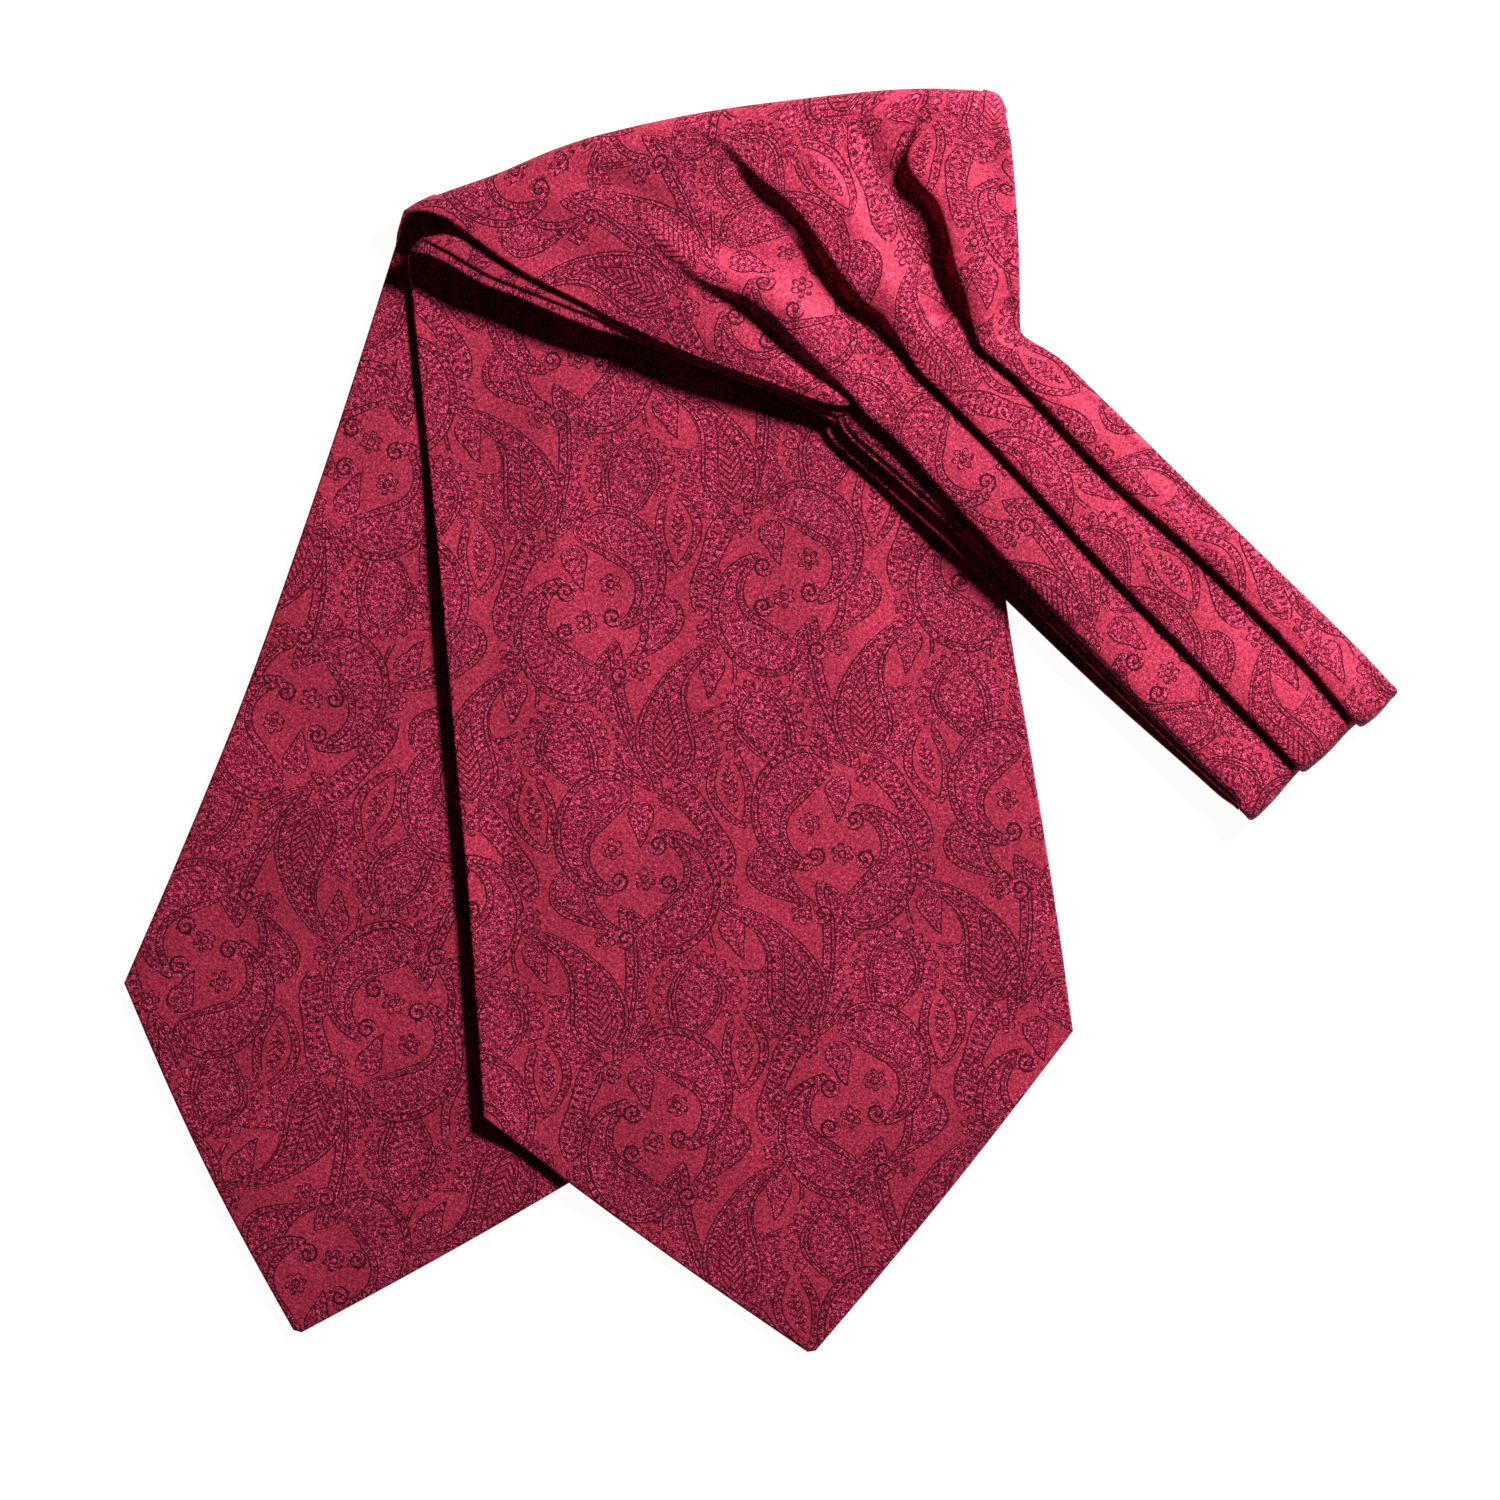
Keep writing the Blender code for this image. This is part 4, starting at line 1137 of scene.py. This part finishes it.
def curl(tree, place):
    """The spiral at a tail's end, from places measured from its middle."""
    angle, out = polar(tree, place)
    wave = add(tree, MATH, [out, math.tau / CURL_PITCH, angle], operation="MULTIPLY_ADD")
    wave = add(tree, MATH, [wave], operation="SINE")
    line = add(tree, MATH, [wave, 0.6, PLAIN], operation="MULTIPLY_ADD")
    line = add(tree, MATH, [line, 0.4], operation="MAXIMUM")
    cover = add(tree, RANGE, [out, CURL_SIZE + 0.3, CURL_SIZE - 0.1])
    return cover, 1.0, line


def floret(tree, place):
    """A small flower of round petals."""
    angle, out = polar(tree, place, turned=True)
    _, edge, figure, line = petals(tree, angle, out, FLORET, 0.5)
    eye = add(tree, MATH, [out, FLORET[1]], operation="SUBTRACT")
    eye = add(tree, MATH, [eye], operation="ABSOLUTE")
    eye = add(tree, RANGE, [eye, 0.28, 0.12, PLAIN, DARK])
    line = add(tree, MATH, [line, eye], operation="MAXIMUM")
    cover = add(tree, RANGE, [edge, 0.5, 0.3])
    return cover, figure, line


def ornament():
    """The paisley ornament as a group: from places on the cloth in millimetres to figure and lines."""
    group = bpy.data.node_groups.new("Paisley ornament", "ShaderNodeTree")
    group.interface.new_socket("Place", in_out="INPUT", socket_type="NodeSocketVector")
    group.interface.new_socket("Figure", in_out="OUTPUT", socket_type="NodeSocketFloat")
    group.interface.new_socket("Lines", in_out="OUTPUT", socket_type="NodeSocketFloat")
    place = add(group, "NodeGroupInput")
    rows = [row_frame(group, place, 0.0), row_frame(group, place, -ROW / 2)]
    layers = []
    for name, row, across, up, turn in LAYOUT:
        if name == CROWNED:
            layers.append(crown(group, spot(group, rows[row], 0.0, 0.0)))
        layers.append(motif(group, spot(group, rows[row], across, up, turn), MOTIFS[name]))
    for small, places in ((curl, CURLS), (floret, FLORETS)):
        for row, across, up in places:
            layers.append(small(group, spot(group, rows[row], across, up)))
    figure, line = 0.0, PLAIN
    for cover, inner, mark in layers:
        line = add(group, MIX, {0: cover, 2: line, 3: mark})
        figure = add(group, MIX, {0: cover, 2: figure, 3: inner})
    add(group, "NodeGroupOutput", [figure, line])
    return group


# Silk colours: smooth satin ground, denser figure, a painted highlight for its flecks and for the lit side
# of its lines, and its drawn lines, whose colour also paints shade in the crinkle's hollows
SILK = "Woven silk jacquard"
GROUND = "B8304B"
FIGURE = "A41E40"
PAINTED_HIGHLIGHT = "FF5C86"
OUTLINE_AND_SHADE = "3C0210"
CRINKLE = 0.68     # size of the crinkled weave in the figure, in millimetres
PAINTED_STRAND_SHADE = (0.012, 0.0, 0.002, 1.0)   # painted shade between the sewing thread's twisted strands
THREAD = 0.65      # spacing of the satin's threads, drawn about five times as coarse, so that they show
BROAD = 0.03       # of the slow changes of tone, in turns to a millimetre


def silk(look):
    """Woven silk jacquard: a satin ground that shines softly, and a figure in a denser, crinkled weave, with
    painted glints on the crinkle, painted shade in its hollows and a painted highlight beside each drawn
    line.
    """
    colours = (look.ground, look.figured, look.bright, look.drawn)
    ground, figured, bright, drawn = [tuple(colour) for colour in colours]
    material = new_material(SILK)
    tree = material.node_tree
    place = add(tree, "ShaderNodeUVMap", uv_map="ClothMap")
    drawing = add(tree, "ShaderNodeGroup", [place], node_tree=ornament())
    figure, lines = drawing.outputs[0], drawing.outputs[1]
    crinkled = {"Vector": place, "Scale": MM / look.crinkle, "Detail": 1.5, "Roughness": 0.6,
                "Distortion": 1.2}
    threads = {"Vector": place, "Scale": MM / look.thread, "Detail": 0.0}
    slow = {"Vector": place, "Scale": BROAD, "Detail": 1.0}
    crinkle = add(tree, NOISE, crinkled, noise_dimensions="2D")
    grain = add(tree, NOISE, threads, noise_dimensions="2D")
    broad = add(tree, NOISE, slow, noise_dimensions="2D")
    # How strongly the crinkle's painted glints and painted shade show: the ground's share on the satin,
    # almost fully in the figure
    share = add(tree, RANGE, [figure, 0.0, 1.0, look.ground_glints_and_shade, 0.9])
    # Painted glints: the painted highlight colour where the crinkle's noise peaks
    painted_glint = add(tree, RANGE, [crinkle, 0.52, 0.64])
    painted_glint = add(tree, MATH, [painted_glint, share], operation="MULTIPLY")
    # Painted shade in the crinkle's hollows, in the outlines' dark colour
    painted_dip_shade = add(tree, RANGE, [crinkle, 0.49, 0.37])
    painted_dip_shade = add(tree, MATH, [painted_dip_shade, share], operation="MULTIPLY")
    mark = add(tree, RANGE, [lines, 0.6, 0.9, 0.0, 0.9])
    # Painted highlight beside each drawn line's dark core, as if the line stood out and caught the light
    painted_line_highlight = add(tree, RANGE, [lines, 0.42, 0.15, 0.0, 0.6])
    # Over the ground: the figure, the crinkle's painted shade, its painted glints, the drawn lines' dark
    # cores and the painted highlight beside them
    colour = ground
    for part, tint in ((figure, figured), (painted_dip_shade, drawn), (painted_glint, bright), (mark, drawn), (painted_line_highlight, bright)):
        colour = add(tree, MIX, {0: part, 6: colour, 7: tint}, data_type="RGBA").outputs[2]
    shade = add(tree, RANGE, [grain, 0.2, 0.8, 0.7, 1.3], clamp=False)
    tone = add(tree, RANGE, [broad, 0.3, 0.7, 0.88, 1.12])
    shade = add(tree, MATH, [shade, tone], operation="MULTIPLY")
    colour = add(tree, VECTOR, {0: colour, "Scale": shade}, operation="SCALE")
    height = add(tree, MATH, [crinkle, 0.4], operation="MULTIPLY")
    height = add(tree, MATH, [grain, 0.05, height], operation="MULTIPLY_ADD")
    strength = add(tree, RANGE, [figure, 0.0, 1.0, 0.15, 0.8])
    relief = add(tree, "ShaderNodeBump", {"Height": height, "Distance": MM, "Strength": strength})
    rough = add(tree, RANGE, [figure, 0.0, 1.0, 0.58, 0.64])
    finish = {"Base Color": colour, "Roughness": rough, "Normal": relief, "Specular IOR Level": 0.1,
              "Metallic": 0.1}
    add(tree, OUTPUT, {"Surface": add(tree, SHADER, finish)})
    return material


def jacquard(context):
    """The one silk that every piece of cloth is cut from, made the first time it is asked for."""
    return bpy.data.materials.get(SILK) or silk(context.scene.cravat_silk)


def sewing_thread(look):
    """Mercerised sewing thread: round, tightly twisted, darker than the silk, almost without shine."""
    material = new_material("Mercerised sewing thread")
    tree = material.node_tree
    place = add(tree, "ShaderNodeTexCoord").outputs["Object"]
    twist = add(tree, NOISE, {"Vector": place, "Scale": 1 / look.twist, "Detail": 1.0})
    # The twist's noise darkens the thread towards painted shade between its strands
    colours = {0: twist, 6: PAINTED_STRAND_SHADE, 7: tuple(look.colour)}
    colour = add(tree, MIX, colours, data_type="RGBA").outputs[2]
    relief = add(tree, "ShaderNodeBump", {"Height": twist, "Distance": 0.05 * MM, "Strength": 0.5})
    finish = {"Base Color": colour, "Roughness": 0.7, "Normal": relief, "Specular IOR Level": 0.2}
    add(tree, OUTPUT, {"Surface": add(tree, SHADER, finish)})
    return material


# Tack stitches


TACK = [(68.7, 102.2), (67.0, 99.7), (64.6, 96.6)]   # the row of small stitches at the waist
TACK_STEPS = 12


def stitch_tree():
    """Geometry Nodes that set one small stitch after another along a line."""
    tree = bpy.data.node_groups.new("Tack stitches", "GeometryNodeTree")
    tree.interface.new_socket("Line", in_out="INPUT", socket_type="NodeSocketGeometry")
    for name in ("Spacing", "Stitch length", "Thread radius"):
        tree.interface.new_socket(name, in_out="INPUT", socket_type="NodeSocketFloat")
    tree.interface.new_socket("Thread", in_out="INPUT", socket_type="NodeSocketMaterial")
    tree.interface.new_socket("Stitches", in_out="OUTPUT", socket_type="NodeSocketGeometry")
    given = add(tree, "NodeGroupInput").outputs
    line = add(tree, "GeometryNodeMeshToCurve", {"Mesh": given["Line"]})
    spacing = {"Curve": line, "Length": given["Spacing"]}
    points = add(tree, "GeometryNodeCurveToPoints", spacing, mode="LENGTH").outputs
    ball = {"Segments": 10, "Rings": 6, "Radius": given["Thread radius"]}
    stitch = add(tree, "GeometryNodeMeshUVSphere", ball)
    share = add(tree, MATH, [given["Stitch length"], given["Thread radius"]], operation="DIVIDE")
    share = add(tree, MATH, [share, 0.5], operation="MULTIPLY")
    size = add(tree, "ShaderNodeCombineXYZ", [1.0, 1.0, share])
    laid = add(tree, "GeometryNodeTransform", {"Geometry": stitch, "Scale": size})
    along = {"Points": points["Points"], "Instance": laid, "Rotation": points["Rotation"]}
    row = add(tree, "GeometryNodeInstanceOnPoints", along)
    row = add(tree, "GeometryNodeRealizeInstances", {"Geometry": row})
    row = add(tree, "GeometryNodeSetMaterial", {"Geometry": row, "Material": given["Thread"]})
    add(tree, "NodeGroupOutput", {"Stitches": row})
    return tree


def tack_stitches(look):
    """The short row of stitches that holds the pleats at the waist, laid on the outer cloth."""
    cloth = bpy.data.objects["outer_cloth"].data
    surface = BVHTree.FromPolygons([v.co for v in cloth.vertices], [p.vertices for p in cloth.polygons])
    places = []
    for k in range(TACK_STEPS + 1):
        above = (follow(TACK, k / TACK_STEPS) * MM).to_3d() + Vector((0.0, 0.0, 0.05))
        hit = surface.ray_cast(above, Vector((0.0, 0.0, -1.0)))[0]
        if hit is None:
            raise RuntimeError("the tack stitches have no cloth below them")
        places.append(hit + Vector((0.0, 0.0, look.radius * 0.4)))
    mesh = bpy.data.meshes.new("tack_stitches")
    mesh.from_pydata(places, [(k, k + 1) for k in range(TACK_STEPS)], [])
    piece = placed("tack_stitches", mesh)
    tree = stitch_tree()
    sockets = {item.name: item.identifier for item in tree.interface.items_tree if item.in_out == "INPUT"}
    sewn = piece.modifiers.new("Stitches", "NODES")
    sewn.node_group = tree
    sewn[sockets["Spacing"]] = look.spacing
    sewn[sockets["Stitch length"]] = look.length
    sewn[sockets["Thread radius"]] = look.radius
    sewn[sockets["Thread"]] = sewing_thread(look)
    plain_mesh(piece, sewn)
    piece.data.shade_smooth()
    return piece


# Stage

FLOOR_HALF = 3.0          # metres, like the rest of the stage
FLOOR_LEVEL = -0.0006
CAMERA_HIGH = 3.0
SEEN = 0.4                # width of floor that the photograph shows
AIM = (-3.33, -7.47)      # middle of the photograph, in millimetres
WHITE = (1.0, 1.0, 1.0, 1.0)
PAPER_GREY = (0.2, 0.2, 0.2, 1.0)


def make_floor(look):
    """A plain pale floor."""
    mesh = bpy.data.meshes.new("floor")
    sides = ((-1, -1), (1, -1), (1, 1), (-1, 1))
    mesh.from_pydata([(x * FLOOR_HALF, y * FLOOR_HALF, FLOOR_LEVEL) for x, y in sides], [], [(0, 1, 2, 3)])
    floor = placed("floor", mesh)
    material = new_material("Matt white studio paper")
    tree = material.node_tree
    paper = add(tree, "ShaderNodeBsdfDiffuse", {"Color": PAPER_GREY})
    glow = add(tree, "ShaderNodeEmission", {"Color": WHITE, "Strength": look.paper})
    both = add(tree, "ShaderNodeAddShader", [paper, glow])
    add(tree, OUTPUT, {"Surface": both})
    mesh.materials.append(material)


def make_light(name, look):
    """A soft round light that points at the cravat."""
    data = bpy.data.lights.new(name, "AREA")
    data.shape = "DISK"
    data.size = look.size
    data.energy = look.power
    lamp = placed(name, data)
    a, e = look.azimuth, look.elevation
    way = Vector((math.cos(a) * math.cos(e), math.sin(a) * math.cos(e), math.sin(e)))
    lamp.location = way * look.distance
    lamp.rotation_mode = "QUATERNION"
    lamp.rotation_quaternion = way.to_track_quat("Z", "Y")


def make_camera():
    """The photograph's view, straight down from a long way off."""
    data = bpy.data.cameras.new("camera")
    data.sensor_width = 36.0
    data.lens = data.sensor_width * CAMERA_HIGH / SEEN
    camera = placed("camera", data)
    camera.location = (AIM[0] * MM, AIM[1] * MM, CAMERA_HIGH)
    bpy.context.scene.camera = camera


def make_stage(look):
    """Floor, light, camera and sky."""
    make_floor(look)
    make_light("key", look)
    make_camera()
    world = bpy.data.worlds.new("studio")
    world.use_nodes = True
    sky = world.node_tree.nodes["Background"].inputs
    sky["Color"].default_value = WHITE
    sky["Strength"].default_value = look.fill
    bpy.context.scene.world = world
    bpy.context.scene.view_settings.view_transform = "Standard"


# Settings that a user would change


def colour_setting(name, says, code):
    """A colour that a user would change, with its sRGB hex default."""
    return bpy.props.FloatVectorProperty(
        name=name, description=says, subtype="COLOR", size=4, min=0.0, max=1.0, default=linear(code))


def length_setting(name, says, least, default):
    """A length that a user would change, with its least value and its default in millimetres."""
    return bpy.props.FloatProperty(
        name=name, description=says, unit="LENGTH", min=least * MM, default=default * MM)


class CravatSilk(bpy.types.PropertyGroup):
    """Colours and scales of the silk."""
    ground: colour_setting("Ground", "Satin ground", GROUND)
    figured: colour_setting("Figure", "Denser weave of the motifs", FIGURE)
    # Painted highlight colour, for the crinkle's glints and for the lit side beside the drawn lines
    bright: colour_setting("Flecks", "Raised threads that catch the light", PAINTED_HIGHLIGHT)
    # Dark colour of the drawn outlines, also used as painted shade in the crinkle's hollows
    drawn: colour_setting("Outlines", "Sunk lines round and inside the motifs", OUTLINE_AND_SHADE)
    # How strongly the crinkle's painted glints and painted shade show on the satin ground
    ground_glints_and_shade: bpy.props.FloatProperty(
        name="Ground weave", description="How strongly the ground's own weave shows", subtype="FACTOR",
        min=0.0, max=1.0, default=0.4)
    crinkle: length_setting("Crinkle", "Size of the crinkled weave in the figure", 0.1, CRINKLE)
    thread: length_setting("Thread", "Spacing of the satin's threads as drawn", 0.1, THREAD)


class CravatCloth(bpy.types.PropertyGroup):
    """Thicknesses of the cloth."""
    blade: length_setting("Blade thickness", "Silk and lining of one blade", 0.5, BLADE)
    silk: length_setting("Outer cloth", "Thickness of the pleated outer cloth", 0.2, OUTER)


class CravatThread(bpy.types.PropertyGroup):
    """The tack stitches at the waist."""
    spacing: length_setting("Spacing", "From one stitch to the next", 0.3, 0.8)
    length: length_setting("Stitch length", "What shows of each stitch", 0.2, 0.55)
    radius: length_setting("Thread radius", "Half the thread's thickness", 0.1, 0.17)
    twist: length_setting("Twist", "Length of the thread's twist", 0.1, 0.3)
    colour: colour_setting("Colour", "Colour of the thread", "4A0A1C")


class CravatStage(bpy.types.PropertyGroup):
    """The light and the paper."""
    azimuth: bpy.props.FloatProperty(
        name="Light azimuth", description="Where the light comes from, anticlockwise from the right",
        subtype="ANGLE", default=math.radians(45.0))
    elevation: bpy.props.FloatProperty(
        name="Light elevation", description="Height of the light above the floor", subtype="ANGLE",
        default=math.radians(28.5))
    distance: length_setting("Light distance", "From the middle of the cravat", 300.0, 950.0)
    size: length_setting("Light size", "Diameter of the round light", 10.0, 170.0)
    power: bpy.props.FloatProperty(
        name="Light power", description="Power of the light in watts", min=0.0, default=18.0)
    fill: bpy.props.FloatProperty(
        name="Fill", description="Strength of the even light from all round", min=0.0, default=0.018)
    paper: bpy.props.FloatProperty(
        name="Paper", description="How strongly the white paper is lit from behind", min=0.0, default=0.97)


# Operators, one for each piece and one for the stage


class CRAVAT_OT_stage(bpy.types.Operator):
    """Sets up the paper, the light and the camera"""
    bl_idname = "cravat.stage"
    bl_label = "Stage"

    def execute(self, context):
        make_stage(context.scene.cravat_stage)
        return {"FINISHED"}


class CRAVAT_OT_back_blade(bpy.types.Operator):
    """Builds the lower blade"""
    bl_idname = "cravat.back_blade"
    bl_label = "Back blade"

    def execute(self, context):
        piece = back_blade(jacquard(context), context.scene.cravat_cloth.blade / MM)
        finished(piece, ["back_blade"])
        return {"FINISHED"}


class CRAVAT_OT_front_blade(bpy.types.Operator):
    """Builds the upper blade"""
    bl_idname = "cravat.front_blade"
    bl_label = "Front blade"

    def execute(self, context):
        piece = front_blade(jacquard(context), context.scene.cravat_cloth.blade / MM)
        finished(piece, ["front_blade"])
        return {"FINISHED"}


class CRAVAT_OT_inner_cloth(bpy.types.Operator):
    """Builds the folded inner cloth between the outer cloth and the blades"""
    bl_idname = "cravat.inner_cloth"
    bl_label = "Inner cloth"

    def execute(self, context):
        piece = inner_cloth(jacquard(context))
        finished(piece, ["inner_fan"])
        return {"FINISHED"}


class CRAVAT_OT_lower_band(bpy.types.Operator):
    """Builds the neckband's lower half"""
    bl_idname = "cravat.lower_band"
    bl_label = "Lower band"

    def execute(self, context):
        piece = lower_band(jacquard(context))
        finished(piece, ["lower_band"])
        return {"FINISHED"}


class CRAVAT_OT_outer_cloth(bpy.types.Operator):
    """Builds the outer cloth, from the turn through the fan to the pleated neckband"""
    bl_idname = "cravat.outer_cloth"
    bl_label = "Outer cloth"

    def execute(self, context):
        piece = outer_cloth(jacquard(context), context.scene.cravat_cloth.silk / MM)
        nodes = ["outer_fan", "pleat_1", "pleat_2", "pleat_3"]
        finished(piece, nodes)
        return {"FINISHED"}


class CRAVAT_OT_tack_stitches(bpy.types.Operator):
    """Sews the short row of tack stitches at the waist, once the outer cloth is there"""
    bl_idname = "cravat.tack_stitches"
    bl_label = "Tack stitches"

    def execute(self, context):
        if "outer_cloth" not in bpy.data.objects:
            raise RuntimeError("the tack stitches need the outer cloth")
        piece = tack_stitches(context.scene.cravat_thread)
        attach(piece, "root")
        return {"FINISHED"}


STEPS = (CRAVAT_OT_stage, CRAVAT_OT_back_blade, CRAVAT_OT_front_blade, CRAVAT_OT_inner_cloth,
         CRAVAT_OT_lower_band, CRAVAT_OT_outer_cloth, CRAVAT_OT_tack_stitches)
SETTINGS = {"cravat_silk": CravatSilk, "cravat_cloth": CravatCloth, "cravat_thread": CravatThread,
            "cravat_stage": CravatStage}


class CRAVAT_PT_panel(bpy.types.Panel):
    """Lists the cravat's settings and its building steps"""
    bl_idname = "CRAVAT_PT_panel"
    bl_label = "Silk cravat"
    bl_space_type = "VIEW_3D"
    bl_region_type = "UI"
    bl_category = "Cravat"

    def draw(self, context):
        for name, group in SETTINGS.items():
            box = self.layout.box()
            for setting in group.__annotations__:
                box.prop(getattr(context.scene, name), setting)
        for step in STEPS:
            self.layout.operator(step.bl_idname)


def register():
    """Registers the settings, the operators and the panel."""
    for name, group in SETTINGS.items():
        bpy.utils.register_class(group)
        setattr(bpy.types.Scene, name, bpy.props.PointerProperty(type=group))
    for step in STEPS:
        bpy.utils.register_class(step)
    bpy.utils.register_class(CRAVAT_PT_panel)


def unregister():
    """Takes the panel, the operators and the settings away again."""
    bpy.utils.unregister_class(CRAVAT_PT_panel)
    for step in reversed(STEPS):
        bpy.utils.unregister_class(step)
    for name, group in SETTINGS.items():
        delattr(bpy.types.Scene, name)
        bpy.utils.unregister_class(group)


def main():
    """Registers the add-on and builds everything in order."""
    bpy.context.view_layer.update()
    register()
    bpy.ops.cravat.stage()
    bpy.ops.cravat.back_blade()
    bpy.ops.cravat.front_blade()
    bpy.ops.cravat.inner_cloth()
    bpy.ops.cravat.lower_band()
    bpy.ops.cravat.outer_cloth()
    bpy.ops.cravat.tack_stitches()


if __name__ == "__main__":
    main()
